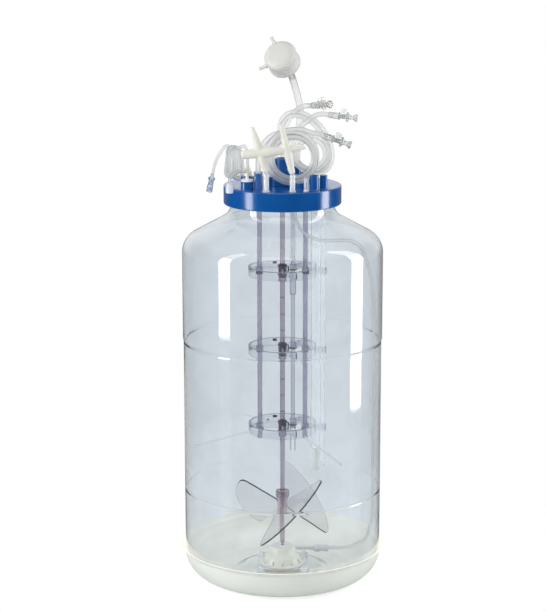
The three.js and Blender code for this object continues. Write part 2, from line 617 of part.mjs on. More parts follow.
function spargeFitting() {
  const body = turned(roundedProfile([
    [0, 0], [3, 0], [3, 36], [6.2, 37], [6.2, 46], [4.4, 47], [4.4, 51], [6.2, 52], [6.2, 61], [0, 61],
  ], 45), 14);
  return pointed(body, [SPARGE_END - 61, SPARGE_Y, SPARGE_Z], [1, 0, 0]);
}
add('sparge_fitting', spargeFitting(), plastic(0xa8acb0, 0.3));

// ---- Coiled lines ----
function coilRing(name, ring) {
  const half = ring.width / 2;
  const geometry = pipe(ring.inner, ring.outer, -half, half, 36).rotateX(Math.PI / 2);
  add(name, geometry, TUBING()).position.set(ring.x, ring.y, ring.z);
}
coilRing('front_coil', FRONT_COIL);
coilRing('middle_coil', MIDDLE_COIL);
coilRing('rear_coil', REAR_COIL);

// Leads outside the coils, as lists of points.
const FRONT_LEAD_IN = [
  [-39, -68, SLEEVE_STUB.top + GAP], [-39, -68, 712], [-38, -63, 728], [-32, -52, 743], [-22, -40, 751],
  [-12.2, -33.7, 754.2],
];
const FRONT_LEAD_OUT = [[47.5, -50.1, 760.2], [53, -50.1, 759.9], [58.5, -50.1, 758.4], [64.2, -50.1, 756.4]];
const MIDDLE_LEAD_OUT = [
  [38.6, 38.4, 771.3], [47.5, 38.4, 776], [57, 38.4, 779.3], [66, 38.4, 780.1], [75.3, 38.4, 779],
];
const REAR_LEAD_OUT = [
  [8.5, 56, 780], [17, 56, 785.8], [27, 56, 789.8], [36, 54.8, 791.5], [42.5, 50.5, 792.3], [48.5, 42.7, 793.6],
];

add('front_lead_in', tubeAlong(FRONT_LEAD_IN, COIL_HALF, 10, 12), TUBING());
add('front_lead_out', tubeAlong(FRONT_LEAD_OUT, COIL_HALF, 10, 4), TUBING());
add('middle_lead_out', tubeAlong(MIDDLE_LEAD_OUT, COIL_HALF, 10, 6), TUBING());
add('rear_lead_out', tubeAlong(REAR_LEAD_OUT, COIL_HALF, 10, 8), TUBING());

// ---- Quick couplings: a body on the line's end, a sprung latch button and a sealing plug ----
const PLUG_BORE = 3.3;
const BODY_LENGTH = 34;
const LATCH = { start: 20, length: 11, width: 10, foot: 6.3, top: 12 };
const LATCH_TRAVEL = 1.5;

// Local frame: +X from the line to the plug, +Z towards the button.
function couplingBody() {
  const flank = turned(roundedProfile([
    [0, 0], [4.9, 0], [4.9, 9], [5.4, 10], [5.4, 14], [6.2, 15], [6.2, 29.4], [7.9, 30], [7.9, BODY_LENGTH],
    [PLUG_BORE, BODY_LENGTH], [PLUG_BORE, BODY_LENGTH - 15], [0, BODY_LENGTH - 15],
  ], 45), 16).rotateY(Math.PI / 2);
  const slot = new THREE.BoxGeometry(LATCH.length + 2 * GAP, LATCH.width + 2 * GAP, 8);
  slot.translate(LATCH.start + LATCH.length / 2 - 0.6, 0, LATCH.foot - LATCH_TRAVEL - GAP - 0.5 + 4);
  return solidOf(flank).subtract(solidOf(slot));
}

function couplingLatch() {
  const side = new THREE.Shape(roundedProfile([
    [5, LATCH.foot - 0.5], [LATCH.length - 1.2, LATCH.foot - 0.5], [LATCH.length - 1.2, LATCH.top, 2.5],
    [0, LATCH.top - 1, 3], [0, LATCH.foot - 0.5], [5, LATCH.foot - 0.5],
  ], 30).slice(0, -1));
  const block = new THREE.ExtrudeGeometry(side, { depth: LATCH.width, bevelEnabled: false });
  return block.rotateX(Math.PI / 2).translate(LATCH.start, LATCH.width / 2, 0);
}

function couplingPlug() {
  const stem = BODY_LENGTH - 12;
  return turned(roundedProfile([
    [0, stem], [PLUG_BORE - GAP, stem], [PLUG_BORE - GAP, BODY_LENGTH + GAP], [4.4, BODY_LENGTH + GAP],
    [4.4, BODY_LENGTH + 8], [6.6, BODY_LENGTH + 13, 0.8], [6.6, BODY_LENGTH + 14.5], [0, BODY_LENGTH + 14.5],
  ], 45), 16).rotateY(Math.PI / 2);
}

// Where a fitting starts on a line's end, and the way it points.
function lineEnd(lead) {
  const [before, end] = lead.slice(-2).map((p) => new THREE.Vector3(...p));
  const way = end.clone().sub(before).normalize();
  return { foot: end.addScaledVector(way, GAP), way };
}

function coupling(name, lead) {
  const { foot, way } = lineEnd(lead);
  const across = new THREE.Vector3(0, 0, 1).cross(way).normalize();
  const place = new THREE.Group();
  place.position.copy(foot);
  place.setRotationFromMatrix(new THREE.Matrix4().makeBasis(way, across, way.clone().cross(across)));
  bioreactor.add(place);
  add(`${name}_coupling`, couplingBody(), plastic(0xb4bab8, 0.15, 0.7), place);
  add(`${name}_latch`, couplingLatch(), WHITE(), place);
  add(`${name}_plug`, couplingPlug(), plastic(0xc8cecc, 0.12, 0.6), place);
}
coupling('front', FRONT_LEAD_OUT);
coupling('middle', MIDDLE_LEAD_OUT);
coupling('rear', REAR_LEAD_OUT);

// ---- Exhaust tube and vent filter ----
const FILTER_WAY = new THREE.Vector3(0.285, 0.78, -0.557).normalize();   // from the front face to the barb
const FILTER_PLACE = new THREE.Vector3(0, 12, 872);
const FILTER_RADIUS = 27.5;
const RIM_PLACE = 17;
const BARB_REACH = 40;
const behindBarb = (along) => FILTER_PLACE.clone().addScaledVector(FILTER_WAY, BARB_REACH + GAP + along).toArray();
const EXHAUST_ROUTE = [
  [24, 72, EXHAUST_STUB.top + GAP], [24, 72, 708], [27, 72, 745], [29.5, 72.5, 770], [28.8, 73, 788],
  [25, 73, 806], [20.5, 70.5, 823], [16.5, 63, 836.5], behindBarb(8), behindBarb(0),
];
add('exhaust_tube', tubeAlong(EXHAUST_ROUTE, EXHAUST_DIAMETER / 2, 10, 18), TUBING());

function ventFilter() {
  const capsule = solidOf(turned(roundedProfile([
    [0, -RIM_PLACE - 6], [10, -RIM_PLACE - 5], [FILTER_RADIUS, -RIM_PLACE, 5], [FILTER_RADIUS - 4, 0, 4],
    [FILTER_RADIUS, RIM_PLACE, 5], [9, RIM_PLACE + 5], [5, RIM_PLACE + 7], [4, RIM_PLACE + 8],
    [4, BARB_REACH], [0, BARB_REACH],
  ], 45), 24));
  // Two bleed nipples stand out sideways, near the front face and in the waist.
  const nipple = (turn, level) => solidOf(pointed(turned([
    [0, 14], [3.6, 14], [3.6, 31], [2.6, 32], [2.6, 39], [3.2, 39], [3.2, 41], [0, 41],
  ], 12), [0, 0, level], [...polar(1, turn), 0]));
  return joined(capsule, nipple(248, -11), nipple(165, 0));
}
const filter = add('vent_filter', ventFilter(), plastic(0xdcdcd4, 0.5));
filter.position.copy(FILTER_PLACE);
// The local X points to the right and the local Y down.
const filterX = new THREE.Vector3(1, 0, 0).addScaledVector(FILTER_WAY, -FILTER_WAY.x).normalize();
filter.setRotationFromMatrix(new THREE.Matrix4().makeBasis(
  filterX, FILTER_WAY.clone().cross(filterX), FILTER_WAY));

// ---- Thin sampling line: a hank beside the ports and its two ends ----
const HANK = { x: -79.5, y: -1.5, half: 15, round: 17, width: 25 };
const HANK_OUT = HANK.round + THIN_DIAMETER / 2;
const HANK_Z = HEAD_TOP + GAP + HANK.half + HANK_OUT;

function hank() {
  const outline = new THREE.Shape();
  outline.absarc(0, HANK.half, HANK_OUT, 0, Math.PI, false);
  outline.absarc(0, -HANK.half, HANK_OUT, Math.PI, 2 * Math.PI, false);
  outline.closePath();
  const block = new THREE.ExtrudeGeometry(outline, { depth: HANK.width, bevelEnabled: false, curveSegments: 8 });
  return block.rotateX(Math.PI / 2).translate(0, HANK.width / 2, 0);
}
add('sampling_hank', hank(), TUBING()).position.set(HANK.x, HANK.y, HANK_Z);

const HANK_TOP = HANK_Z + HANK.half + HANK.round;
const SAMPLE_LEAD_IN = [
  [-57, -28, FITTING_TOP + GAP], [-57, -28, 716], [-58, -25, 728], [-63, -20.5, 735.5], [-71, -17, 737.6],
];
const SAMPLE_LEAD_OUT = [
  [-82, 13.8, 737.4], [-93, 14, 734], [-102, 10.5, 724.5], [-109, 4, 710], [-113.3, -2, 696], [-114.6, -4.2, 688],
];
const OUTLET_END = OUTLET_WAY.clone().multiplyScalar(OUTLET_REACH + GAP).add(new THREE.Vector3(-57, -28, OUTLET_Z));
const CAP_LEAD = [
  OUTLET_END.toArray(), [-68, -39, OUTLET_Z], [-77.5, -50, 694.5], [-84.3, -59, 687.5],
  [-85.4, -60.5, 683.5], [-85.4, -60.5, 680.3],
];
const THIN_HALF = THIN_DIAMETER / 2;
add('sample_lead_in', tubeAlong(SAMPLE_LEAD_IN, THIN_HALF, 8, 8), TUBING());
add('sample_lead_out', tubeAlong(SAMPLE_LEAD_OUT, THIN_HALF, 8, 12), TUBING());
add('cap_lead', tubeAlong(CAP_LEAD, THIN_HALF, 8, 8), TUBING());

function luerConnector() {
  return turned(roundedProfile([
    [0, 0], [3, 0], [3, 6], [5.6, 7], [5.6, 9], [4.2, 10], [4.2, 20], [5, 21], [5, 31, 0.6], [2, 31], [2, 26], [0, 26],
  ], 45), 14);
}
const luerPlace = lineEnd(SAMPLE_LEAD_OUT);
add('luer_connector', pointed(luerConnector(), luerPlace.foot.toArray(), luerPlace.way.toArray()),
  plastic(0xc2c6cc, 0.2, 0.8));

function luerCap() {
  return turned(roundedProfile([
    [0, 664], [6.4, 664, 1], [6.4, 674], [5, 675], [5, 680, 0.8], [0, 680],
  ], 45), 16);
}
add('luer_cap', luerCap(), WHITE()).position.set(-85.4, -60.5, 0);

export default bioreactor;
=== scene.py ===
# %% [markdown]
# # A stirred bioreactor in Blender
# The object is a clear blow-moulded bottle in a milky cup, closed by a moulded head that carries a drive,
# ports and coiled lines. A shaft with one impeller hangs in it, steadied by three cage rings.
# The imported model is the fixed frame: each finer piece is built in the same place as the plain one it replaces.

# %% Load the frame
import math
import bpy
from mathutils import Matrix, Vector


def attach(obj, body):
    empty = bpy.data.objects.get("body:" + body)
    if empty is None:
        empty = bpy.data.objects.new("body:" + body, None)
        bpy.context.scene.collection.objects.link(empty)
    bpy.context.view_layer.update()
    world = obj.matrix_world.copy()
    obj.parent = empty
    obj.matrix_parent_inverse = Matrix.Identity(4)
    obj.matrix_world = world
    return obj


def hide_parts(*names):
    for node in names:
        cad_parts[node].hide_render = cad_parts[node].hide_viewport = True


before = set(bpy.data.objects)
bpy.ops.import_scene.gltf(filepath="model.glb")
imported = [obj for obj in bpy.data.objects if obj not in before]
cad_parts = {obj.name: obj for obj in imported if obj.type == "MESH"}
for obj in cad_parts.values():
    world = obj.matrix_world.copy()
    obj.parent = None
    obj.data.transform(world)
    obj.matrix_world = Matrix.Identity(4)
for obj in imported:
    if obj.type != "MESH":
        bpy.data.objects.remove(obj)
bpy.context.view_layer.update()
MM = 0.001

# %% [markdown]
# ## Camera
# A long lens from a few metres away shows the vessel almost without perspective, a little from above.
# The small shift only places the vessel right of the middle of the frame.

# %% Camera
LOOKS_DOWN = 0.2144
camera_data = bpy.data.cameras.new("camera")
camera_data.lens = 117.65
camera_data.sensor_width = 36
camera_data.shift_x = -0.0155
camera_data.clip_end = 50
camera = bpy.data.objects.new("camera", camera_data)
camera.location = (0, -3.254, 1.1728)
camera.rotation_euler = (math.pi / 2 - LOOKS_DOWN, 0, 0)
bpy.context.scene.collection.objects.link(camera)
bpy.context.scene.camera = camera
print("camera at", tuple(camera.location))

# %% [markdown]
# ## Helpers for meshes
# Most pieces are turned on a lathe, drawn along a path, or cut from a plate. A shape here is a pair of
# lists, corners in millimetres and faces, so shapes can be moved and put together before one mesh is made.
# The sign of a closed shape's volume says whether its faces point outwards, so each one is checked by it.

# %% Faces that point outwards
def outward(verts, faces):
    volume = 0.0
    for face in faces:
        for i in range(1, len(face) - 1):
            volume += Vector(verts[face[0]]).dot(Vector(verts[face[i]]).cross(Vector(verts[face[i + 1]])))
    return (verts, faces) if volume > 0 else (verts, [face[::-1] for face in faces])


tetrahedron = outward([(0, 0, 0), (1, 0, 0), (0, 1, 0), (0, 0, 1)], [[0, 1, 2], [0, 3, 1], [0, 2, 3], [1, 3, 2]])
print("a tetrahedron has its first face as", tetrahedron[1][0])

# %% Profiles
ON_AXIS, LONG, RING_MARGIN = 1e-4, 6, 1.0


def rounded(corners, step=9):
    """Corners as (x, y) or (x, y, round) in mm; a round corner becomes an arc."""
    points = []
    for i, corner in enumerate(corners):
        here = Vector(corner[:2])
        size = corner[2] if len(corner) > 2 else 0
        if not size or i in (0, len(corners) - 1):
            points.append(tuple(here))
            continue
        before = (Vector(corners[i - 1][:2]) - here).normalized()
        after = (Vector(corners[i + 1][:2]) - here).normalized()
        half = math.acos(max(-1, min(1, before.dot(after)))) / 2
        centre = here + (before + after).normalized() * (size / math.sin(half))
        start = here + before * (size / math.tan(half)) - centre
        end = here + after * (size / math.tan(half)) - centre
        sweep = math.atan2(start.x * end.y - start.y * end.x, start.dot(end))
        count = max(3, round(abs(math.degrees(sweep)) / step))
        for k in range(count + 1):
            turn = sweep * k / count
            points.append((centre.x + start.x * math.cos(turn) - start.y * math.sin(turn),
                           centre.y + start.x * math.sin(turn) + start.y * math.cos(turn)))
    return points


def offset(points, wall):
    """The profile moved towards its left side by a wall's thickness."""
    def side(a, b):
        return Vector((a[1] - b[1], b[0] - a[0])).normalized()
    moved_points = []
    for i, point in enumerate(points):
        first = side(points[max(i - 1, 0)], points[max(i, 1)])
        last = side(points[min(i, len(points) - 2)], points[min(i + 1, len(points) - 1)])
        middle = (first + last).normalized()
        moved_points.append(tuple(Vector(point) + middle * (wall / middle.dot(last))))
    return moved_points


def held(profile):
    """Long straight parts get a ring near each end, so that smooth shading there stays straight."""
    points = [profile[0]]
    for a, b in zip(profile, profile[1:]):
        length = math.dist(a, b)
        if length > LONG and max(a[0], b[0]) > ON_AXIS:
            near = RING_MARGIN / length
            for share in (near, 1 - near):
                points.append((a[0] + (b[0] - a[0]) * share, a[1] + (b[1] - a[1]) * share))
        points.append(b)
    return points


print("a rounded corner has", len(rounded([(0, 0), (5, 0, 1), (5, 5)])) - 2, "points")

# %% Turned shapes
def turned(profile, sides=64):
    """A closed shape turned about +Z from (radius, z) points."""
    verts, faces, rings = [], [], []
    for radius, z in held(profile):
        if radius < ON_AXIS:
            rings.append([len(verts)])
            verts.append((0.0, 0.0, z))
        else:
            rings.append(list(range(len(verts), len(verts) + sides)))
            for k in range(sides):
                turn = 2 * math.pi * k / sides
                verts.append((radius * math.cos(turn), radius * math.sin(turn), z))
    closed = len(rings[0]) > 1
    for a, b in zip(rings, rings[1:] + (rings[:1] if closed else [])):
        for k in range(sides):
            quad = [a[k % len(a)], a[(k + 1) % len(a)], b[(k + 1) % len(b)], b[k % len(b)]]
            face = [v for i, v in enumerate(quad) if v not in quad[:i]]
            if len(face) > 2:
                faces.append(face)
    return outward(verts, faces)


def pipe(inner, outer, low, high, edge=0.3, sides=40):
    return turned(rounded([
        (inner, (low + high) / 2), (inner, low, edge), (outer, low, edge), (outer, high, edge),
        (inner, high, edge), (inner, (low + high) / 2)], 45)[:-1], sides)


def rod(radius, low, high, edge=0.4, sides=32):
    return turned(rounded([(0, low), (radius, low, edge), (radius, high, edge), (0, high)], 30), sides)


print("a test rod has", len(rod(4, 0, 10)[0]), "corners")

# %% Placing and joining
UP = Vector((0, 0, 1))


def moved(shape, place):
    """The shape moved by an offset, or by a matrix."""
    matrix = place if isinstance(place, Matrix) else Matrix.Translation(place)
    return [tuple(matrix @ Vector(v)) for v in shape[0]], shape[1]


def towards(way):
    """The turn that takes +Z to a way."""
    return UP.rotation_difference(Vector(way)).to_matrix().to_4x4()


def pointed(shape, foot, way):
    """A shape that stands along +Z, laid so that it starts at foot and runs along way."""
    return moved(shape, Matrix.Translation(foot) @ towards(way))


def together(*shapes):
    verts, faces = [], []
    for shape in shapes:
        start = len(verts)
        verts += shape[0]
        faces += [[start + v for v in face] for face in shape[1]]
    return verts, faces


print("two rods together have", len(together(rod(4, 0, 10), rod(4, 0, 10))[0]), "corners")

# %% Plates
def plate(outline, low, high, edge=0.5):
    """A flat plate with a small chamfer all round, from an outline in the XY plane."""
    inset = offset(outline + outline[:2], edge)[1:-1]
    inset = [inset[-1]] + inset[:-1]
    layers = [(inset, low), (outline, low + edge), (outline, high - edge), (inset, high)]
    count = len(outline)
    verts = [(x, y, z) for points, z in layers for x, y in points]
    faces = [list(range(count))[::-1], list(range(3 * count, 4 * count))]
    for level in range(3):
        for k in range(count):
            a, b = level * count + k, level * count + (k + 1) % count
            faces.append([a, b, b + count, a + count])
    return outward(verts, faces)


def box(half_x, half_y, low, high, edge):
    return plate([(-half_x, -half_y), (half_x, -half_y), (half_x, half_y), (-half_x, half_y)], low, high, edge)


print("a box has", len(box(1, 1, 0, 1, 0.1)[1]), "faces")

# %% [markdown]
# ## Paths
# Tubing never has a kink, so its given points are joined by one smooth curve. The frames along it are
# carried from each step to the next without twist, which keeps a hollow tube round through every bend.

# %% A smooth curve through points
SUBSTEPS = 12


def path_length(path):
    return sum((b - a).length for a, b in zip(path, path[1:]))


def smooth_path(points, spacing=2.0):
    """A centripetal Catmull-Rom curve through the points, cut into even steps."""
    nodes = [Vector(p) for p in points]
    nodes = [nodes[0] * 2 - nodes[1]] + nodes + [nodes[-1] * 2 - nodes[-2]]
    dense = []
    for i in range(1, len(nodes) - 2):
        p0, p1, p2, p3 = nodes[i - 1:i + 3]
        t0 = 0.0
        t1 = t0 + max((p1 - p0).length, 1e-6) ** 0.5
        t2 = t1 + max((p2 - p1).length, 1e-6) ** 0.5
        t3 = t2 + max((p3 - p2).length, 1e-6) ** 0.5
        for k in range(SUBSTEPS):
            t = t1 + (t2 - t1) * k / SUBSTEPS
            a1 = p0.lerp(p1, (t - t0) / (t1 - t0))
            a2 = p1.lerp(p2, (t - t1) / (t2 - t1))
            a3 = p2.lerp(p3, (t - t2) / (t3 - t2))
            b1 = a1.lerp(a2, (t - t0) / (t2 - t0))
            b2 = a2.lerp(a3, (t - t1) / (t3 - t1))
            dense.append(b1.lerp(b2, (t - t1) / (t2 - t1)))
    dense.append(nodes[-2])
    total = path_length(dense)
    count = max(4, round(total / spacing))
    path, walked, target = [dense[0]], 0.0, 1
    for a, b in zip(dense, dense[1:]):
        step = (b - a).length
        while target < count and walked + step >= total * target / count:
            path.append(a.lerp(b, (total * target / count - walked) / max(step, 1e-9)))
            target += 1
        walked += step
    return path + [dense[-1]]


straight = smooth_path([(0, 0, 0), (0, 0, 50), (0, 0, 100)])
print("a straight path of 100 mm measures", round(path_length(straight), 1))

# %% A tube along a path
def swept(path, radius, bore=0.0, sides=18):
    """A tube along a path, solid or with a bore, closed at both ends."""
    tangents = [(path[min(i + 1, len(path) - 1)] - path[max(i - 1, 0)]).normalized() for i in range(len(path))]
    side = tangents[0].orthogonal().normalized()
    verts, faces = [], []
    walls = [radius, bore] if bore else [radius]
    for i, (point, way) in enumerate(zip(path, tangents)):
        side = (side - way * side.dot(way)).normalized()
        up = way.cross(side)
        for wall in walls:
            for k in range(sides):
                turn = 2 * math.pi * k / sides
                verts.append(tuple(point + (side * math.cos(turn) + up * math.sin(turn)) * wall))
    row = sides * len(walls)
    for i in range(len(path) - 1):
        for w in range(len(walls)):
            for k in range(sides):
                a, b = i * row + w * sides + k, i * row + w * sides + (k + 1) % sides
                faces.append([a, b, b + row, a + row] if w == 0 else [b, a, a + row, b + row])
    last = (len(path) - 1) * row
    if bore:
        for k in range(sides):
            n = (k + 1) % sides
            faces.append([n, k, sides + k, sides + n])
            faces.append([last + k, last + n, last + sides + n, last + sides + k])
    else:
        faces += [list(range(sides))[::-1], list(range(last, last + sides))]
    return outward(verts, faces)


print("a hollow tube along it has", len(swept(straight, 4, 2)[1]), "faces")

# %% Turns of a coil
def ring_turns(centre, start, sweep, reach, levels, tilt=0, per_turn=48):
    """Turns of a line about an axis along Y, clockwise from the front. reach gives the oval's two half axes and
    levels gives the depth, both from the share of the sweep that is done; tilt turns the oval in its plane."""
    count = max(12, round(per_turn * sweep / 360))
    lean = math.radians(tilt)
    points = []
    for k in range(count + 1):
        share = k / count
        turn = math.radians(start - sweep * share)
        long, short = reach(share)
        x, z = long * math.cos(turn), short * math.sin(turn)
        points.append(Vector((centre[0] + x * math.cos(lean) - z * math.sin(lean), levels(share),
                              centre[1] + x * math.sin(lean) + z * math.cos(lean))))
    return points


def eased(share, low, high):
    """From 0 to 1 between two shares, smoothly."""
    t = min(max((share - low) / (high - low), 0), 1)
    return t * t * (3 - 2 * t)


print("one turn of 30 mm radius has", len(ring_turns((0, 0), 0, 360, lambda s: (30, 30), lambda s: 0)), "points")

# %% [markdown]
# ## Shared surface effects
# Moulded plastic is never perfectly even: it has a faint mottle, a fine skin, and a few marks from handling,
# and a blow-moulded wall ripples. Each effect is a shader node group that puts out only values, so every
# material can use it with its own sizes and the shaders stay in the materials.

# %% Node helpers
def add_node(tree, kind, inputs=None, **settings):
    node = tree.nodes.new(kind)
    for key, value in settings.items():
        setattr(node, key, value)
    for key, value in (inputs or {}).items():
        if isinstance(value, bpy.types.NodeSocket):
            tree.links.new(value, node.inputs[key])
        else:
            node.inputs[key].default_value = value
    return node


def start_group(name, kind, sockets_in, sockets_out):
    """A node group with named sockets, given as name: (type, default)."""
    tree = bpy.data.node_groups.new(name, kind)
    for label, (socket_type, default) in sockets_in.items():
        socket = tree.interface.new_socket(label, in_out="INPUT", socket_type=socket_type)
        if default is not None:
            socket.default_value = default
    for label, socket_type in sockets_out.items():
        tree.interface.new_socket(label, in_out="OUTPUT", socket_type=socket_type)
    return tree, tree.nodes.new("NodeGroupInput").outputs, tree.nodes.new("NodeGroupOutput").inputs


def mixed_colours(tree, factor, first, second):
    """A colour between two, each a plain colour or an output; in the Mix node 6 and 7 are its colour inputs."""
    return add_node(tree, "ShaderNodeMix", {"Factor": factor, 6: first, 7: second}, data_type="RGBA").outputs[2]


def mixed_shaders(tree, factor, first, second, output):
    pick = add_node(tree, "ShaderNodeMixShader", {"Fac": factor, 1: first, 2: second})
    tree.links.new(pick.outputs[0], output.inputs["Surface"])


def math_node(tree, operation, *values):
    """One sum or comparison of numbers or outputs."""
    return add_node(tree, "ShaderNodeMath", dict(enumerate(values)), operation=operation).outputs[0]


NUMBER, POINT = "NodeSocketFloat", "NodeSocketVector"
print("node helpers ready")

# %% Moulded skin
skin, given, result = start_group(
    "moulded skin", "ShaderNodeTree",
    {"Position": (POINT, None), "Mottle Scale": (NUMBER, 30.0), "Grain Scale": (NUMBER, 900.0)},
    {"Tone": NUMBER, "Height": NUMBER})
mottle = add_node(skin, "ShaderNodeTexNoise",
                  {"Vector": given["Position"], "Scale": given["Mottle Scale"], "Detail": 3.0, "Roughness": 0.6})
grain = add_node(skin, "ShaderNodeTexNoise",
                 {"Vector": given["Position"], "Scale": given["Grain Scale"], "Detail": 2.0})
tone = add_node(skin, "ShaderNodeMapRange", {"Value": mottle.outputs["Fac"], "From Min": 0.32, "From Max": 0.68})
skin.links.new(tone.outputs["Result"], result["Tone"])
skin.links.new(math_node(skin, "ADD", grain.outputs["Fac"], mottle.outputs["Fac"]), result["Height"])
print("group", skin.name)

# %% Ripple of a blown wall
# The parison stretches mostly downwards, so the ripples are long upright streaks with a few slow waves.
ripple, given, result = start_group(
    "blown wall", "ShaderNodeTree",
    {"Position": (POINT, None), "Streaks": (NUMBER, 34.0), "Waves": (NUMBER, 7.0)}, {"Height": NUMBER})
stretch = add_node(ripple, "ShaderNodeMapping", {"Vector": given["Position"], "Scale": (1.0, 1.0, 0.14)})
streak = add_node(ripple, "ShaderNodeTexNoise",
                  {"Vector": stretch.outputs["Vector"], "Scale": given["Streaks"], "Detail": 2.0})
slow = add_node(ripple, "ShaderNodeTexNoise",
                {"Vector": given["Position"], "Scale": given["Waves"], "Detail": 1.0})
both = math_node(ripple, "MULTIPLY_ADD", slow.outputs["Fac"], 2.5, streak.outputs["Fac"])
ripple.links.new(both, result["Height"])
print("group", ripple.name)

# %% Handling marks
marks, given, result = start_group(
    "handling marks", "ShaderNodeTree",
    {"Position": (POINT, None), "Speck Scale": (NUMBER, 260.0), "Amount": (NUMBER, 0.5)}, {"Mask": NUMBER})
cells = add_node(marks, "ShaderNodeTexVoronoi", {"Vector": given["Position"], "Scale": given["Speck Scale"]})
speck = add_node(marks, "ShaderNodeMapRange",
                 {"Value": cells.outputs["Distance"], "From Min": 0.05, "From Max": 0.12,
                  "To Min": 1.0, "To Max": 0.0})
patch = add_node(marks, "ShaderNodeTexNoise", {"Vector": given["Position"], "Scale": 14.0, "Detail": 4.0})
where = add_node(marks, "ShaderNodeMapRange", {"Value": patch.outputs["Fac"], "From Min": 0.5, "From Max": 0.75})
few = math_node(marks, "MULTIPLY", speck.outputs["Result"], where.outputs["Result"])
marks.links.new(math_node(marks, "MULTIPLY", few, given["Amount"]), result["Mask"])
print("group", marks.name)

# %% [markdown]
# ## Materials
# Two makers cover nearly all finishes. `opaque` is for the blue, ivory and white mouldings and the metals.
# `clear` is for everything that light goes through, and for the milky cup: its lamps' rays pass straight on,
# because light inside a closed glass shell would otherwise need far more samples to get there. Seen edge on, a
# tinted wall is crossed the long way and looks darker; `rim` paints that darkness into the colour as shade, and gives
# the colour and where it begins.

# %% Colours and a bare material
def srgb(*channels):
    """A colour as it looks on a screen, 0 to 255, turned into the linear values that shaders use."""
    linear = [c / 255 / 12.92 if c < 11 else ((c / 255 + 0.055) / 1.055) ** 2.4 for c in channels]
    return (*linear, 1.0)


def base_material(name):
    material = bpy.data.materials.new(name)
    material.use_nodes = True
    tree = material.node_tree
    tree.nodes.clear()
    place = tree.nodes.new("ShaderNodeTexCoord").outputs["Object"]
    shader = tree.nodes.new("ShaderNodeBsdfPrincipled")
    output = tree.nodes.new("ShaderNodeOutputMaterial")
    tree.links.new(shader.outputs[0], output.inputs["Surface"])
    return material, tree, place, shader, output


print("half grey on a screen is", round(srgb(128)[0], 3), "in a shader")

# %% Surface detail
WORN_ROUGHER = 0.3
GRAIN_DEPTH = 0.0004


def surface_detail(tree, place, shader, color, spread, roughness, rough_spread, bump, mottle_scale, grain_scale):
    """Mottled colour, uneven roughness, specks and a fine bump, all from the shared groups."""
    body = add_node(tree, "ShaderNodeGroup", {}, node_tree=skin)
    tree.links.new(place, body.inputs["Position"])
    body.inputs["Mottle Scale"].default_value = mottle_scale
    body.inputs["Grain Scale"].default_value = grain_scale
    wear = add_node(tree, "ShaderNodeGroup", {}, node_tree=marks)
    tree.links.new(place, wear.inputs["Position"])
    darker = tuple(c * (1 - spread) for c in color[:3]) + (1.0,)
    tree.links.new(mixed_colours(tree, body.outputs["Tone"], darker, color), shader.inputs["Base Color"])
    rough = add_node(tree, "ShaderNodeMapRange",
                     {"Value": body.outputs["Tone"], "To Min": roughness, "To Max": roughness + rough_spread})
    worn = math_node(tree, "MULTIPLY_ADD", wear.outputs["Mask"], WORN_ROUGHER, rough.outputs["Result"])
    tree.links.new(worn, shader.inputs["Roughness"])
    bumps = add_node(tree, "ShaderNodeBump",
                     {"Height": body.outputs["Height"], "Strength": bump, "Distance": GRAIN_DEPTH})
    tree.links.new(bumps.outputs[0], shader.inputs["Normal"])
    return bumps


print("worn spots are", WORN_ROUGHER, "rougher at most")

# %% Opaque finishes
SOFT_DEPTH = 0.004


def opaque(name, color, roughness, spread=0.06, rough_spread=0.08, bump=0.15, metallic=0.0, soft=0.0,
           mottle_scale=30.0, grain_scale=900.0, coat=0.0):
    material, tree, place, shader, output = base_material(name)
    surface_detail(tree, place, shader, color, spread, roughness, rough_spread, bump, mottle_scale, grain_scale)
    shader.inputs["Metallic"].default_value = metallic
    shader.inputs["Coat Weight"].default_value = coat
    shader.inputs["Coat Roughness"].default_value = 0.06
    if soft:
        shader.inputs["Subsurface Weight"].default_value = soft
        shader.inputs["Subsurface Scale"].default_value = SOFT_DEPTH
        shader.inputs["Subsurface Radius"].default_value = (1, 1, 1)
    return material


print("light goes", SOFT_DEPTH / MM, "mm into the soft finishes")

# %% Effects of a clear wall
def add_ripple(tree, place, bumps, depth):
    waves = add_node(tree, "ShaderNodeGroup", {}, node_tree=ripple)
    tree.links.new(place, waves.inputs["Position"])
    tree.links.new(waves.outputs["Height"], bumps.inputs["Height"])
    bumps.inputs["Distance"].default_value = depth
    bumps.inputs["Strength"].default_value = 1.0


def painted_side_shade(tree, place):
    """Painted shade: the dark edge is made stronger on the right side and above the upper seam."""
    spot = add_node(tree, "ShaderNodeSeparateXYZ", {"Vector": place})
    side = add_node(tree, "ShaderNodeMapRange", {"Value": spot.outputs["X"], "From Min": -0.17, "From Max": 0.17,
                                                 "To Min": 0.08, "To Max": 1.0})
    high = add_node(tree, "ShaderNodeMapRange", {"Value": spot.outputs["Z"], "From Min": 0.4, "From Max": 0.42,
                                                 "To Min": 0.45, "To Max": 1.0})
    return math_node(tree, "MULTIPLY", side.outputs["Result"], high.outputs["Result"])


# Painted shade: the base colour is mixed towards a dark edge colour where a face turns edge-on.
def paint_edge_shade(tree, place, shader, edge_shade_colour, start, side_shade):
    slant = add_node(tree, "ShaderNodeLayerWeight", {"Blend": 0.5}).outputs["Facing"]
    amount = add_node(tree, "ShaderNodeMapRange", {"Value": slant, "From Min": start, "From Max": 1.0},
                      interpolation_type="SMOOTHSTEP").outputs["Result"]
    if side_shade:
        amount = math_node(tree, "MULTIPLY", amount, painted_side_shade(tree, place))
    plain = shader.inputs["Base Color"].links[0].from_socket
    tree.links.new(mixed_colours(tree, amount, plain, edge_shade_colour), shader.inputs["Base Color"])


# The uneven wall in this print is painted shade: the dark edge is stronger on the right and above the upper seam.
print("a ripple, an uneven wall and a dark edge are ready")

# %% Glow inside a milky part
# Light soaks through a milky wall and comes out inside. A faint glow on the faces that look inwards or up
# stands in for it.
BLACK = (0, 0, 0, 1)


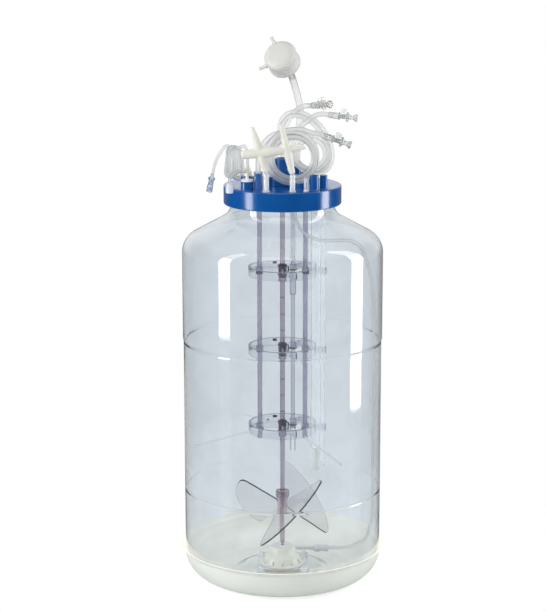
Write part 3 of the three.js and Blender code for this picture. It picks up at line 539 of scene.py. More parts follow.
def glow_inside(tree, place, shader, glow_colour, strength):
    normal = add_node(tree, "ShaderNodeNewGeometry").outputs["Normal"]
    level = add_node(tree, "ShaderNodeVectorMath", {0: place, 1: (1, 1, 0)}, operation="MULTIPLY")
    outwards = add_node(tree, "ShaderNodeVectorMath", {0: level.outputs[0]}, operation="NORMALIZE")
    away = add_node(tree, "ShaderNodeVectorMath", {0: normal, 1: outwards.outputs[0]}, operation="DOT_PRODUCT")
    inwards = math_node(tree, "MULTIPLY", away.outputs["Value"], -1.0)
    facing = add_node(tree, "ShaderNodeSeparateXYZ", {"Vector": normal})
    either = math_node(tree, "MAXIMUM", inwards, facing.outputs["Z"])
    inner = add_node(tree, "ShaderNodeMapRange", {"Value": either, "From Min": 0.1, "From Max": 0.6},
                     interpolation_type="SMOOTHSTEP")
    tree.links.new(mixed_colours(tree, inner.outputs["Result"], BLACK, glow_colour),
                   shader.inputs["Emission Color"])
    shader.inputs["Emission Strength"].default_value = strength


print("glow ready")

# %% Clear finishes
def clear(name, color, roughness, through=1.0, ior=1.49, bump=0.1, spread=0.05, mottle_scale=20.0,
          lamp_share=0.995, wall=None, rim=None, wash=None):
    """wall is the depth of a blown wall's ripple, rim the colour and start of the painted edge shade, wash the inner
    glow.
    """
    material, tree, place, shader, output = base_material(name)
    bumps = surface_detail(tree, place, shader, color, spread, roughness, 0.03, bump, mottle_scale, 500.0)
    shader.inputs["Transmission Weight"].default_value = through
    shader.inputs["IOR"].default_value = ior
    if wall:
        add_ripple(tree, place, bumps, wall)
    if rim:
        paint_edge_shade(tree, place, shader, *rim, side_shade=bool(wall))
    if wash:
        glow_inside(tree, place, shader, *wash)
    passing = add_node(tree, "ShaderNodeBsdfTransparent", {"Color": (lamp_share, lamp_share, lamp_share, 1.0)})
    rays = add_node(tree, "ShaderNodeLightPath")
    mixed_shaders(tree, rays.outputs["Is Shadow Ray"], shader.outputs[0], passing.outputs[0], output)
    return material


print("makers of finishes ready")

# %% The finishes
# Each rim colour below is painted edge shade; on the blown wall it is stronger on the right and above the upper seam.
BOTTLE_WALL = clear("clear_blown_wall", srgb(235, 240, 244), 0.02, wall=0.00012, rim=(srgb(8, 10, 14), 0.64))
CLEAR_PART = clear("clear_moulding", srgb(250, 252, 254), 0.05, through=0.75)
CLEAR_PIPE = clear("clear_pipe", srgb(251, 252, 253), 0.04, ior=1.22)
PALE_PIPE = clear("pale_pipe", srgb(253, 254, 255), 0.05, through=0.9, ior=1.2)
CAGE_CLEAR = clear("clear_cage", srgb(243, 244, 249), 0.05, rim=(srgb(150, 150, 165), 0.6))
DIP_PIPE = clear("smoked_pipe", srgb(220, 217, 227), 0.06, mottle_scale=60.0, rim=(srgb(120, 110, 126), 0.4))
SMOKED = clear("smoked_rod", srgb(192, 180, 196), 0.06, mottle_scale=60.0, rim=(srgb(84, 74, 92), 0.45))
BLADE = clear("smoked_blade", srgb(246, 245, 246), 0.05, ior=1.35)
# The blade edge finish is painted shade for the dark edges of the impeller's ears.
BLADE_EDGE_SHADE = clear("blade_edge_painted_shade", srgb(34, 30, 38), 0.25, through=0.1)
HUB_CLEAR = clear("smoked_blade_hub", srgb(220, 206, 212), 0.1, through=0.92)
DARK_HUB = clear("smoked_hub", srgb(120, 104, 130), 0.12, through=0.8)
TUBE = clear("soft_tubing", srgb(244, 245, 244), 0.3, through=0.94, ior=1.2, bump=0.01,
             rim=(srgb(8, 8, 12), 0.32))
THIN_TUBE = clear("thin_tubing", srgb(240, 242, 242), 0.3, through=0.9, ior=1.2, bump=0.01,
                  rim=(srgb(16, 16, 24), 0.26))
COUPLING_GREY = clear("coupling_grey", srgb(226, 229, 226), 0.07, through=0.85, rim=(srgb(84, 88, 86), 0.4))
LATCH_MILKY = clear("latch_milky", srgb(250, 251, 250), 0.15, through=0.25)
LUER_BLUE = clear("luer_tinted", srgb(198, 209, 228), 0.08, through=0.9, rim=(srgb(50, 60, 90), 0.35))
CAP_PALE = clear("cap_pale", srgb(240, 245, 254), 0.15, through=0.35)
BLUE = opaque("blue_moulding", srgb(4, 86, 162), 0.13, spread=0.1, coat=0.15)
CUP_MILKY = clear("milky_cup", srgb(230, 234, 229), 0.45, through=0.0, spread=0.03, mottle_scale=12.0,
                  lamp_share=0.9, wash=(srgb(255, 230, 198), 0.36))
IVORY_SOFT = opaque("ivory_rubber", srgb(238, 238, 228), 0.5, soft=0.3, grain_scale=600.0)
IVORY = opaque("ivory_moulding", srgb(236, 235, 222), 0.4, soft=0.15)
WHITE = opaque("white_moulding", srgb(240, 242, 242), 0.35, soft=0.1)
FILTER_WHITE = opaque("filter_shell", srgb(224, 225, 220), 0.55, spread=0.03, soft=0.4)
POROUS = opaque("porous_white", srgb(246, 248, 246), 0.8, bump=0.6, grain_scale=1500.0)
GREY = opaque("grey_moulding", srgb(220, 222, 222), 0.3)
STEEL = opaque("turned_steel", srgb(190, 193, 197), 0.25, metallic=1.0, rough_spread=0.15, grain_scale=1200.0)
GASKET = opaque("gasket_rubber", srgb(216, 216, 210), 0.7)
DARK_MARK = opaque("dark_moulding", srgb(46, 40, 52), 0.35)
print(len(bpy.data.materials), "materials")

# %% [markdown]
# ## Finished pieces
# A piece is made a mesh at the origin with its place in its corners, shaded smooth up to an angle, set to ride
# on its body and given its finish; the plain nodes that it stands for are hidden.

# %% Making a piece
def piece(name, shape, material, body="vessel", stands_for=(), sharp=35, extra=None):
    """extra is a second finish with the numbers of the faces that it takes."""
    mesh = bpy.data.meshes.new(name)
    mesh.from_pydata([tuple(c * MM for c in v) for v in shape[0]], [], shape[1])
    mesh.materials.append(material)
    if extra:
        mesh.materials.append(extra[0])
        for face in extra[1]:
            mesh.polygons[face].material_index = 1
    mesh.polygons.foreach_set("use_smooth", [True] * len(mesh.polygons))
    mesh.set_sharp_from_angle(angle=math.radians(sharp))
    made = bpy.data.objects.new(name, mesh)
    bpy.context.scene.collection.objects.link(made)
    return settled(made, body, stands_for)


def settled(made, body, stands_for=()):
    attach(made, body)
    if stands_for:
        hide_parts(*stands_for)
    return made


def with_modifiers(made, *steps):
    """Applies modifiers, given as (type, settings), so that the finished piece is a plain mesh."""
    for kind, settings in steps:
        modifier = made.modifiers.new(kind.lower(), kind)
        for key, value in settings.items():
            setattr(modifier, key, value)
    bpy.context.view_layer.update()
    result_mesh = bpy.data.meshes.new_from_object(made.evaluated_get(bpy.context.evaluated_depsgraph_get()))
    made.modifiers.clear()
    made.data = result_mesh
    result_mesh.polygons.foreach_set("use_smooth", [True] * len(result_mesh.polygons))
    return made


print("piece maker ready")

# %% [markdown]
# ## Lines and their coils
# Each line is one length of soft tube: it rises from its port, is wound into a few turns for shipping, and
# ends in a quick coupling. It is modelled in that way, one hollow tube along one path, so the turns really
# cross and lie on each other. Chosen points give the free stretches and a rule gives the turns.

# %% Line sizes and the ports they leave
LINE, THIN_LINE, EXHAUST_LINE = 8.2, 4.8, 11.4
FRONT_PORT, MIDDLE_PORT, REAR_PORT, EXHAUST_PORT = (-39, -68), (1, 38.4), (-10, 56), (24, 72)
SAMPLING_PORT, PLUG_PORT = (-57, -28), (-57, -62)


def line_piece(name, path, size, material, stands_for, length, with_pieces,
               bore_share=0.6):
    made = piece(name, swept(path, size / 2, size / 2 * bore_share, sides=32), material,
                 stands_for=stands_for, sharp=50)
    print(name, "is", round(path_length(path)), "mm long, stated", length)
    return made


# %% [markdown]
# ## Quick couplings
# A coupling is a clear grey body with a barbed tail in the line, a sprung latch button on its side and a
# sealing plug with a flared end. All three are drawn in the coupling's own frame, +X away from the line and
# +Z towards the button, and then placed by the last stretch of the line.

# %% Starting, ending and running a geometry tree
WHOLE, GEOMETRY, SUBSTANCE = "NodeSocketInt", "NodeSocketGeometry", "NodeSocketMaterial"


def start_tree(name, sizes):
    """A geometry tree with its sizes as named inputs, between a geometry and a material."""
    return start_group(name, "GeometryNodeTree",
                       {"Geometry": (GEOMETRY, None), **sizes, "Material": (SUBSTANCE, None)}, {"Geometry": GEOMETRY})


def end_tree(tree, geometry, given, result):
    """The export drops instances and needs a material, so every tree ends in these two nodes."""
    real = add_node(tree, "GeometryNodeRealizeInstances", {"Geometry": geometry})
    dressed = add_node(tree, "GeometryNodeSetMaterial",
                       {"Geometry": real.outputs["Geometry"], "Material": given["Material"]})
    tree.links.new(dressed.outputs[0], result["Geometry"])
    print("tree", tree.name)


def grown(name, tree, settings, place, body, material, stands_for=()):
    """Runs a geometry tree on an empty mesh, keeps the result as a plain mesh, and puts it in its place."""
    holder = bpy.data.objects.new(name + "_tree", bpy.data.meshes.new(name + "_tree"))
    bpy.context.scene.collection.objects.link(holder)
    modifier = holder.modifiers.new("tree", "NODES")
    modifier.node_group = tree
    sockets = {item.name: item.identifier for item in tree.interface.items_tree if item.in_out == "INPUT"}
    for label, value in {**settings, "Material": material}.items():
        modifier[sockets[label]] = value
    bpy.context.view_layer.update()
    mesh = bpy.data.meshes.new_from_object(holder.evaluated_get(bpy.context.evaluated_depsgraph_get()))
    bpy.data.objects.remove(holder)
    mesh.transform(Matrix.Scale(MM, 4) @ place @ Matrix.Scale(1 / MM, 4))
    mesh.polygons.foreach_set("use_smooth", [True] * len(mesh.polygons))
    mesh.name = name
    made = bpy.data.objects.new(name, mesh)
    bpy.context.scene.collection.objects.link(made)
    return settled(made, body, stands_for)


print("tree helpers ready")

# %% Ridge rows
# Barbs, grip rings and beads are one tree: rings of a given size, repeated along a line.
rows, given, result = start_tree("ridge row", {
    "Count": (WHOLE, 4), "Pitch": (NUMBER, 0.002), "Ring Radius": (NUMBER, 0.005), "Ridge": (NUMBER, 0.0004)})
stations = add_node(rows, "GeometryNodeMeshLine", {"Count": given["Count"]}, mode="OFFSET")
pitch_vector = add_node(rows, "ShaderNodeCombineXYZ", {"Z": given["Pitch"]})
rows.links.new(pitch_vector.outputs[0], stations.inputs["Offset"])
ring_curve = add_node(rows, "GeometryNodeCurvePrimitiveCircle", {"Resolution": 32, "Radius": given["Ring Radius"]})
ridge_curve = add_node(rows, "GeometryNodeCurvePrimitiveCircle", {"Resolution": 10, "Radius": given["Ridge"]})
ridge = add_node(rows, "GeometryNodeCurveToMesh",
                 {"Curve": ring_curve.outputs["Curve"], "Profile Curve": ridge_curve.outputs["Curve"]})
repeated = add_node(rows, "GeometryNodeInstanceOnPoints",
                    {"Points": stations.outputs["Mesh"], "Instance": ridge.outputs["Mesh"]})
end_tree(rows, repeated.outputs["Instances"], given, result)

# %% Coupling shapes
UPRIGHT_TO_X = Matrix.Rotation(math.pi / 2, 4, "Y")
COUPLING_GAP = 0.3


def coupling_body():
    tail = turned(rounded([
        (0, 0), (3.9, 0, 0.5), (4.9, 1.5, 0.4), (4.9, 9.2, 0.3), (5.5, 10, 0.3), (5.5, 14, 0.3), (4.6, 14.6, 0.4),
        (4.6, 16, 0.4), (6.2, 17, 0.5), (6.2, 18.4, 0.3), (0, 18.4)], 20), 40)
    front = turned(rounded([
        (4, 30.4), (7.9, 30.4, 0.6), (7.9, 34, 0.8), (3.3, 34, 0.4), (3.3, 19.5, 0.2), (0, 19.5), (0, 18.6),
        (6.2, 18.6, 0.3), (6.2, 19.1, 0.3), (4, 19.6, 0.3), (4, 30.4)], 20)[:-1], 40)
    cheeks = [moved(box(1.2, 4.6, 19, 31, 0.5), (0, side * 4.8, -2)) for side in (-1, 1)]
    return moved(together(tail, front, *cheeks), UPRIGHT_TO_X)


def coupling_latch():
    side = rounded([(5, 5.6), (10, 5.6, 0.5), (10, 13, 2.2), (6.8, 12.4, 3), (3.4, 13, 2.2), (0, 11.6, 2.6),
                    (0, 5.6, 0.5), (5, 5.6)], 15)[:-1]
    block = plate(side, -5, 5, 0.7)
    return moved(block, Matrix.Translation((20, 0, 0)) @ Matrix.Rotation(math.pi / 2, 4, "X"))


def coupling_plug():
    return moved(turned(rounded([
        (0, 22), (2.4, 22, 0.6), (2.9, 23.5, 0.4), (2.9, 34.3), (4.6, 34.3, 0.3), (4.6, 36, 0.4), (3.6, 36.8, 0.4),
        (3.6, 41, 1.5), (6.6, 47, 0.6), (6.6, 48.5, 0.5), (4.2, 48.5, 0.4), (2.2, 44, 0.6), (0, 44)], 15), 40),
        UPRIGHT_TO_X)


print("a coupling's body has", len(coupling_body()[1]), "faces")

# %% A coupling in its place
def coupling_place(lead):
    """The frame of a coupling that starts just past the end of its line."""
    before, end = Vector(lead[-2]), Vector(lead[-1])
    way = (end - before).normalized()
    across = UP.cross(way).normalized()
    turn = Matrix((way, across, way.cross(across))).transposed().to_4x4()
    return Matrix.Translation(end + way * COUPLING_GAP) @ turn


def coupling(name, lead):
    place = coupling_place(lead)
    body = piece(f"{name}_coupling_body", moved(coupling_body(), place), COUPLING_GREY,
                 stands_for=[f"{name}_coupling"])
    grips = grown(f"{name}_coupling_grips", rows, {"Count": 4, "Pitch": 1.9 * MM, "Ring Radius": 4.9 * MM,
                                                    "Ridge": 0.35 * MM},
                  place @ UPRIGHT_TO_X @ Matrix.Translation((0, 0, 2.4)), "vessel", COUPLING_GREY)
    latch = piece(f"{name}_latch_button", moved(coupling_latch(), place), LATCH_MILKY, f"{name}_latch",
                  [f"{name}_latch"], sharp=50)
    plug = piece(f"{name}_sealing_plug", moved(coupling_plug(), place), COUPLING_GREY, f"{name}_plug",
                 [f"{name}_plug"])
    return [body, grips, latch, plug]


print("couplings ready")

# %% Front line
# It leaves the thin sleeve, bows over the holder, makes three turns and leaves the top of its coil.
FRONT_IN = [(*FRONT_PORT, 697.3), (*FRONT_PORT, 712), (-38.5, -65, 722), (-36, -59, 731.5), (-31.5, -52, 741.5),
            (-26, -45, 747.8), (-19, -39, 753), (-11, -35.5, 756.5)]
FRONT_OUT = [(47.5, -50.1, 760.2), (53, -50.1, 759.9), (58.5, -50.1, 758.4), (64.2, -50.1, 756.4)]


def front_reach(share):
    """The turns narrow towards the middle one and open again on the way out."""
    radius = 33 + (8 * (1 - 2 * share) ** 1.5 if share < 0.5 else 14 * (2 * share - 1) ** 2)
    return radius, radius


front_turns = ring_turns((16.7, 718.4), 100.7, 3 * 360 + 10.3, front_reach,
                         lambda s: -33.7 - 8.2 * min(max(s * 3 - 0.5, 0), 2))
front_path = smooth_path(FRONT_IN + front_turns + [(32, -50.1, 765.4)] + FRONT_OUT)
line_piece("front_line", front_path, LINE, TUBE, ["front_coil", "front_lead_in", "front_lead_out"],
           0.85, coupling("front", FRONT_OUT))

# %% Middle line
# Two smaller turns hang from their own stiffness, the second inside and in front of the first.
MIDDLE_IN = [(*MIDDLE_PORT, 690.6), (*MIDDLE_PORT, 701), (1, 38.8, 713), (3.5, 40.5, 727), (12, 42.6, 738),
             (24, 42.6, 742.5)]
MIDDLE_OUT = [(41.5, 37.8, 768.8), (48.5, 38.4, 774.2), (57, 38.4, 778.6), (66, 38.4, 780.1), (75.3, 38.4, 779)]


def middle_reach(share):
    radius = 30 - 6.3 * eased(share, 0.28, 0.5) + 5 * eased(share, 0.8, 1)
    return radius, radius


middle_turns = ring_turns((47.3, 714.5), 105, 645, middle_reach, lambda s: 42.6 - 8.4 * eased(s, 0.25, 0.62))
middle_path = smooth_path(MIDDLE_IN + middle_turns + [(17.6, 34.2, 729), (19.5, 34.2, 741), (24.5, 34.6, 752.3),
                                                      (32.2, 36, 761.6)] + MIDDLE_OUT)
line_piece("middle_line", middle_path, LINE, TUBE, ["middle_coil", "middle_lead_out"],
           0.48, coupling("middle", MIDDLE_OUT))

# %% Rear line
# Its two turns sag into ovals that lean down to the right.
REAR_IN = [(*REAR_PORT, 701.4), (*REAR_PORT, 711), (-10, 57, 724), (-8.5, 59, 737)]
REAR_OUT = [(7.5, 52.5, 762.3), (14.1, 53.5, 774.7), (22.5, 54.5, 783.6), (29.5, 55, 788.6), (36, 54.8, 791.5),
            (42.5, 50.5, 792.3), (48.5, 42.7, 793.6)]


def rear_reach(share):
    narrowing = eased(share, 0.4, 0.6)
    return 57 - 5 * narrowing, 36 - 5 * narrowing


rear_turns = ring_turns((39.1, 729.7), 225, 720, rear_reach, lambda s: 60.2 - 8.4 * eased(s, 0.3, 0.65), tilt=-56)
rear_path = smooth_path(REAR_IN + rear_turns + REAR_OUT)
line_piece("rear_line", rear_path, LINE, TUBE, ["rear_coil", "rear_lead_out"],
           0.69, coupling("rear", REAR_OUT))

# %% [markdown]
# ## Vent filter on the exhaust tube
# Waste gas leaves through the widest tube, which stands up behind the coils and carries a capsule filter: a
# waisted white shell with a barb and two small bleed nipples, tilted so that its flat face looks forward.

# %% Exhaust tube and filter
FILTER_WAY = Vector((0.285, 0.78, -0.557)).normalized()
FILTER_PLACE = Vector((0, 12, 872))
BARB_END = 40.3
EXHAUST = [(*EXHAUST_PORT, 690.3), (*EXHAUST_PORT, 708), (27, 72, 745), (29.5, 72.5, 770), (28.8, 73, 788),
           (25, 73, 806), (20.5, 70.5, 823), (16.5, 63, 836.5), tuple(FILTER_PLACE + FILTER_WAY * (BARB_END + 8)),
           tuple(FILTER_PLACE + FILTER_WAY * BARB_END)]
filter_x = (Vector((1, 0, 0)) - FILTER_WAY * FILTER_WAY.x).normalized()
filter_frame = Matrix((filter_x, FILTER_WAY.cross(filter_x), FILTER_WAY)).transposed().to_4x4()
filter_frame = Matrix.Translation(FILTER_PLACE) @ filter_frame


def vent_capsule():
    return turned(rounded([
        (0, -22.6), (7, -22.4, 6), (18, -21.4, 12), (27.4, -16, 9), (25.6, -5, 9), (25.6, 5, 9), (27.4, 15.5, 9),
        (17, 20.8, 9), (8.5, 22, 2), (5.2, 24, 1.2), (4.3, 25.5, 0.8), (4.3, 38.8, 0.8), (3.4, 39.9, 0.4), (0, 39.9)],
        8), 72)


def nipple(turn, level):
    shape = turned(rounded([
        (0, 14), (4.4, 14), (3.9, 24, 3), (3.6, 30.5, 0.8), (2.6, 31.8, 0.5), (2.6, 38.6, 0.3), (3.3, 39, 0.3),
        (3.1, 40.9, 0.4), (0, 40.9)], 20), 24)
    radians = math.radians(turn)
    return pointed(shape, (0, 0, level), (math.cos(radians), math.sin(radians), 0))


capsule = together(vent_capsule(), nipple(248, -11), nipple(165, 0))
vent = piece("vent_filter_capsule", moved(capsule, filter_frame), FILTER_WHITE, stands_for=["vent_filter"],
             sharp=40)
welds = grown("vent_filter_welds", rows, {"Count": 2, "Pitch": 26 * MM, "Ring Radius": 26.6 * MM, "Ridge": 0.4 * MM},
             filter_frame @ Matrix.Translation((0, 0, -13)), "vessel", FILTER_WHITE)
line_piece("exhaust_line", smooth_path(EXHAUST), EXHAUST_LINE, TUBE, ["exhaust_tube"], 0.175,
           [vent, welds], bore_share=0.72)

# %% [markdown]
# ## Thin sampling line
# The thin line is folded into an upright hank beside the ports. Its turns are long loops that lie side by
# side, each a little different, and its two ends leave the top of the hank.

# %% Hank and leads
HANK_Z, HANK_HALF, HANK_ROUND = 705, 18.8, 8.0
HANK_LOOPS, POINTS_A_LOOP = 6, 22
SAMPLE_IN = [(*SAMPLING_PORT, 704.3), (*SAMPLING_PORT, 716), (-58, -26, 727), (-62, -21, 735)]
SAMPLE_OUT = [(-92, 12.5, 731), (-99, 12.5, 723.8), (-106.5, 9, 712), (-111.8, 3.5, 699), (-113.9, -2, 690),
              (-114.6, -4.2, 686.5)]


def hank_point(share):
    """Long upright loops, anticlockwise from the front, from their top; each hangs a little beside the last."""
    done = share / HANK_LOOPS
    middle = -70.5 - 16.5 * done + 2.2 * math.sin(share * 5.3)
    half = HANK_HALF - 2.6 * math.sin(share * 1.7) ** 2
    bend = HANK_ROUND * (1 + 0.15 * math.sin(share * 3.1))
    along = share % 1 * (4 * half + 2 * math.pi * bend)
    straight, quarter = 2 * half, math.pi / 2 * bend
    if along < quarter or along >= 3 * quarter + 2 * straight:
        turn = (along if along < quarter else along - 4 * quarter - 2 * straight) / bend
        x, z = -bend * math.sin(turn), half + bend * math.cos(turn)
    elif along < quarter + straight:
        x, z = -bend, half - (along - quarter)
    elif along < 3 * quarter + straight:
        turn = (along - quarter - straight) / bend
        x, z = -bend * math.cos(turn), -half - bend * math.sin(turn)
    else:
        x, z = bend, -half + (along - 3 * quarter - straight)
    return (middle + x, -13.5 + 26.5 * done, HANK_Z + z)


print("hank of", HANK_LOOPS, "loops, each about", round(4 * HANK_HALF + 2 * math.pi * HANK_ROUND), "mm long")

# %% Sampling line
hank_points = [hank_point(k / POINTS_A_LOOP) for k in range(2, HANK_LOOPS * POINTS_A_LOOP - 1)]
sample_path = smooth_path(SAMPLE_IN + hank_points + SAMPLE_OUT)
way = (Vector(SAMPLE_OUT[-1]) - Vector(SAMPLE_OUT[-2])).normalized()
luer_shape = turned(rounded([
    (0, 0), (2.8, 0, 0.4), (2.8, 5.6, 0.3), (5.6, 6.6, 0.5), (5.6, 9, 0.5), (4.1, 9.8, 0.3), (4.1, 20, 0.4),
    (5, 20.6, 0.4), (5, 31, 0.6), (3.1, 31, 0.3), (3.1, 25, 0.3), (0, 25)], 20), 32)
luer = piece("luer_fitting", pointed(luer_shape, Vector(SAMPLE_OUT[-1]) + way * 0.3, way), LUER_BLUE,
             stands_for=["luer_connector"])
luer_ribs = grown("luer_fitting_ribs", rows, {"Count": 6, "Pitch": 1.6 * MM, "Ring Radius": 4.1 * MM,
                                              "Ridge": 0.35 * MM},
                  Matrix.Translation(Vector(SAMPLE_OUT[-1]) + way * 11.2) @ towards(way), "vessel", LUER_BLUE)
line_piece("sample_line", sample_path, THIN_LINE, THIN_TUBE,
           ["sampling_hank", "sample_lead_in", "sample_lead_out"], 0.83, [luer, luer_ribs])

# %% Capped side lead
OUTLET_LEVEL, OUTLET_WAY = 696, Vector((-1, -1, 0)).normalized()
CAP_AT = (-85.4, -60.5)
CAP_LEAD = [tuple(Vector((*SAMPLING_PORT, OUTLET_LEVEL)) + OUTLET_WAY * 10.3), (-68, -39, OUTLET_LEVEL),
            (-77.5, -50, 694.5), (-84.3, -59, 687.5), (*CAP_AT, 683.5), (*CAP_AT, 680.3)]
cap_shape = moved(turned(rounded([
    (0, 664), (6.2, 664, 1), (6.4, 674, 0.6), (5, 675, 0.4), (5, 680, 0.8), (0, 680)], 15), 32), (*CAP_AT, 0))
luer_cap = piece("luer_end_cap", cap_shape, CAP_PALE, "luer_cap", ["luer_cap"])
line_piece("cap_line", smooth_path(CAP_LEAD), THIN_LINE, THIN_TUBE, ["cap_lead"], 0.041,
           [luer_cap])

# %% [markdown]
# ## The bottle and its cup
# A rule makes the bottle: one profile turned about the axis, with the wall's thickness set inwards. The
# mould's seams are shallow grooves round the outside, and the floor rises in the middle so that it stands on a
# ring. It is turned with many sides, because the long reflections would show every flat.

# %% Bottle
BOTTLE_THICK, BOTTLE_FLOOR_ROUND, ROUND_SIDES = 2.5, 44.6, 180


def bottle_outside(seams):
    grooves = [(165, 153), (164.6, 154.6), (164.6, 156.4), (165, 158), (165, 406.8), (164.4, 408.6), (164.5, 410)]
    return rounded([
        (0, 9.9), (66, 9.9, 5), (80, 2.9, 8), (162.9, 2.9, BOTTLE_FLOOR_ROUND), (162.9, 49.1, 6), (165, 60, 20),
        *(grooves if seams else [(165, 408)]), (166.2, 412.2, 0.8), (166.2, 578, 35), (86, 622, 24), (86, 655)], 5)


bottle_inside = offset(bottle_outside(False), BOTTLE_THICK)[::-1]
bottle_inside[-1] = (0.0, bottle_inside[-1][1])
bottle = piece("bottle", turned(bottle_outside(True) + bottle_inside, ROUND_SIDES), BOTTLE_WALL,
               stands_for=["vessel_bottle"], sharp=50)
print("bottle", len(bottle.data.polygons), "faces")

# %% Cup and gasket
# The cup's corner is one big round; its rim flares out to a bead, and its underside has a shallow recess.
CUP_THICK, CUP_HEIGHT = 2.6, 56
CUP_TURN = [(165.8, 0, 46), (165.8, 48, 3)]
cup_outside = rounded([(0, 0.9), (100, 0.9, 3), (104, 0), (118.3, 0, 6), *CUP_TURN, (172.9, 54.6, 0.8),
                       (173.3, 55.6, 0.4)], 6)
cup_inside = offset(rounded([(0, 0), *CUP_TURN, (173.4, CUP_HEIGHT)], 6), CUP_THICK)[::-1]
cup_inside[0] = (cup_inside[0][0], CUP_HEIGHT)
cup_inside[-1] = (0.0, CUP_THICK)
cup = piece("base_cup_shell", turned(cup_outside + cup_inside, ROUND_SIDES), CUP_MILKY, stands_for=["base_cup"],
            sharp=50)
piece("neck_gasket", pipe(83.6, 85.9, 655.4, 660.6, 0.5, 96), GASKET, stands_for=["mouth_gasket"])
print("cup", len(cup.data.polygons), "faces")

# %% Neck thread
# The thread follows a rule too: a rounded ridge along a spiral, with its pitch and turns as inputs.
thread, given, result = start_tree("neck thread", {
    "Radius": (NUMBER, 0.086), "Turns": (NUMBER, 2.0), "Rise": (NUMBER, 0.012), "Ridge": (NUMBER, 0.0007)})
helix = add_node(thread, "GeometryNodeCurveSpiral",
                 {"Resolution": 64, "Rotations": given["Turns"], "Start Radius": given["Radius"],
                  "End Radius": given["Radius"], "Height": given["Rise"]})
ridge_profile = add_node(thread, "GeometryNodeCurvePrimitiveCircle", {"Resolution": 8, "Radius": given["Ridge"]})
ridge = add_node(thread, "GeometryNodeCurveToMesh",
                 {"Curve": helix.outputs["Curve"], "Profile Curve": ridge_profile.outputs["Curve"],
                  "Fill Caps": True})
end_tree(thread, ridge.outputs["Mesh"], given, result)
THREAD_FOOT = 641
grown("neck_thread", thread, {"Radius": 86.3 * MM, "Turns": 2.0, "Rise": 11 * MM, "Ridge": 0.6 * MM},
      Matrix.Translation((0, 0, THREAD_FOOT)), "vessel", CLEAR_PART)

# %% [markdown]
# ## The head
# The head is one blue moulding: a plate with a skirt, and stubs for every port. A moulded stub never meets
# its plate in a sharp corner, so each has a small fillet at its foot and a bevel at its mouth.

# %% Port stubs
HEAD_TOP = 669
STUBS = [  # x, y, radius, top, bore
    (*PLUG_PORT, 10.5, 683, 4), (*SAMPLING_PORT, 11, 687, 1.9), (*FRONT_PORT, 5.3, 697, 1.9),
    (28, -56, 7, 679.6, 0), (51, -62, 7.3, 693, 0), (66.5, -50, 6.1, 692, 0), (*EXHAUST_PORT, 7, 690, 1.9),
    (44, 38.4, 7, 672.7, 0), (37, 56, 7, 681, 0), (*MIDDLE_PORT, 6, 690.1, 1.9), (*REAR_PORT, 6, 701.0, 1.9)]


def stub(x, y, radius, top, bore):
    foot = HEAD_TOP - 1
    outside = [(0, foot), (radius + 1.2, foot), (radius + 1.2, HEAD_TOP + 0.05), (radius, HEAD_TOP + 1.3, 1.6),
               (radius, top, 0.7)]
    if bore:
        mouth = [(bore, top, 0.4), (bore, foot + 2), (0, foot + 2)]
    elif radius > 6.5 and top > 690:
        mouth = [(radius - 1.6, top, 0.5), (radius - 1.6, top - 1.5, 0.3), (0, top - 1.5)]
    else:
        mouth = [(0, top)]
    return moved(turned(rounded(outside + mouth, 15), 40), (x, y, 0))


print(len(STUBS), "stubs, the tallest up to", max(each[3] for each in STUBS), "mm")

# %% Head plate and skirt
# A shallow groove round the drive housing marks where it is set on the plate.
HEAD_RADIUS, PLATE_FOOT, SKIRT_FOOT, SKIRT_INNER, SHAFT_HOLE = 97, 661, 638, 87.5, 5.6
GROOVE_OUTER, GROOVE_INNER, GROOVE_DEPTH = 31.5, 29.2, 0.6
head_profile = rounded([
    (SHAFT_HOLE, PLATE_FOOT), (SKIRT_INNER, PLATE_FOOT, 0.6), (SKIRT_INNER, SKIRT_FOOT, 0.4), (95.4, SKIRT_FOOT, 1),
    (HEAD_RADIUS, SKIRT_FOOT + 1.6, 0.8), (HEAD_RADIUS, HEAD_TOP - 1.2, 1.1), (HEAD_RADIUS - 1.6, HEAD_TOP, 0.8),
    (GROOVE_OUTER, HEAD_TOP, 0.4), (GROOVE_OUTER, HEAD_TOP - GROOVE_DEPTH, 0.2),
    (GROOVE_INNER, HEAD_TOP - GROOVE_DEPTH, 0.2), (GROOVE_INNER, HEAD_TOP, 0.3), (SHAFT_HOLE, HEAD_TOP)], 15)
piece("head_moulding", together(turned(head_profile, ROUND_SIDES), *[stub(*each) for each in STUBS]), BLUE,
      stands_for=["head_cap"], sharp=40)
print("head", 2 * HEAD_RADIUS, "mm wide")

# %% Ribs inside the skirt
# Repeated upright ribs stiffen the inside of the skirt; they are seen only from below.
spokes, given, result = start_tree("pieces round a circle", {
    "Count": (WHOLE, 12), "Circle": (NUMBER, 0.05), "Width": (NUMBER, 0.001), "Depth": (NUMBER, 0.001),
    "Height": (NUMBER, 0.01)})
circle = add_node(spokes, "GeometryNodeCurvePrimitiveCircle", {"Resolution": 96, "Radius": given["Circle"]})
spots = add_node(spokes, "GeometryNodeCurveToPoints", {"Curve": circle.outputs["Curve"], "Count": given["Count"]},
                 mode="COUNT")
size = add_node(spokes, "ShaderNodeCombineXYZ", {"X": given["Depth"], "Y": given["Width"], "Z": given["Height"]})
block = add_node(spokes, "GeometryNodeMeshCube", {"Size": size.outputs[0]})
spin = add_node(spokes, "FunctionNodeAlignRotationToVector", {"Vector": spots.outputs["Tangent"]}, axis="Y")
placed = add_node(spokes, "GeometryNodeInstanceOnPoints",
                  {"Points": spots.outputs["Points"], "Instance": block.outputs["Mesh"],
                   "Rotation": spin.outputs["Rotation"]})
end_tree(spokes, placed.outputs["Instances"], given, result)
grown("skirt_ribs", spokes, {"Count": 48, "Circle": 87.2 * MM, "Width": 1.2 * MM, "Depth": 0.8 * MM,
                             "Height": 4 * MM}, Matrix.Translation((0, 0, 658.6)), "vessel", BLUE)

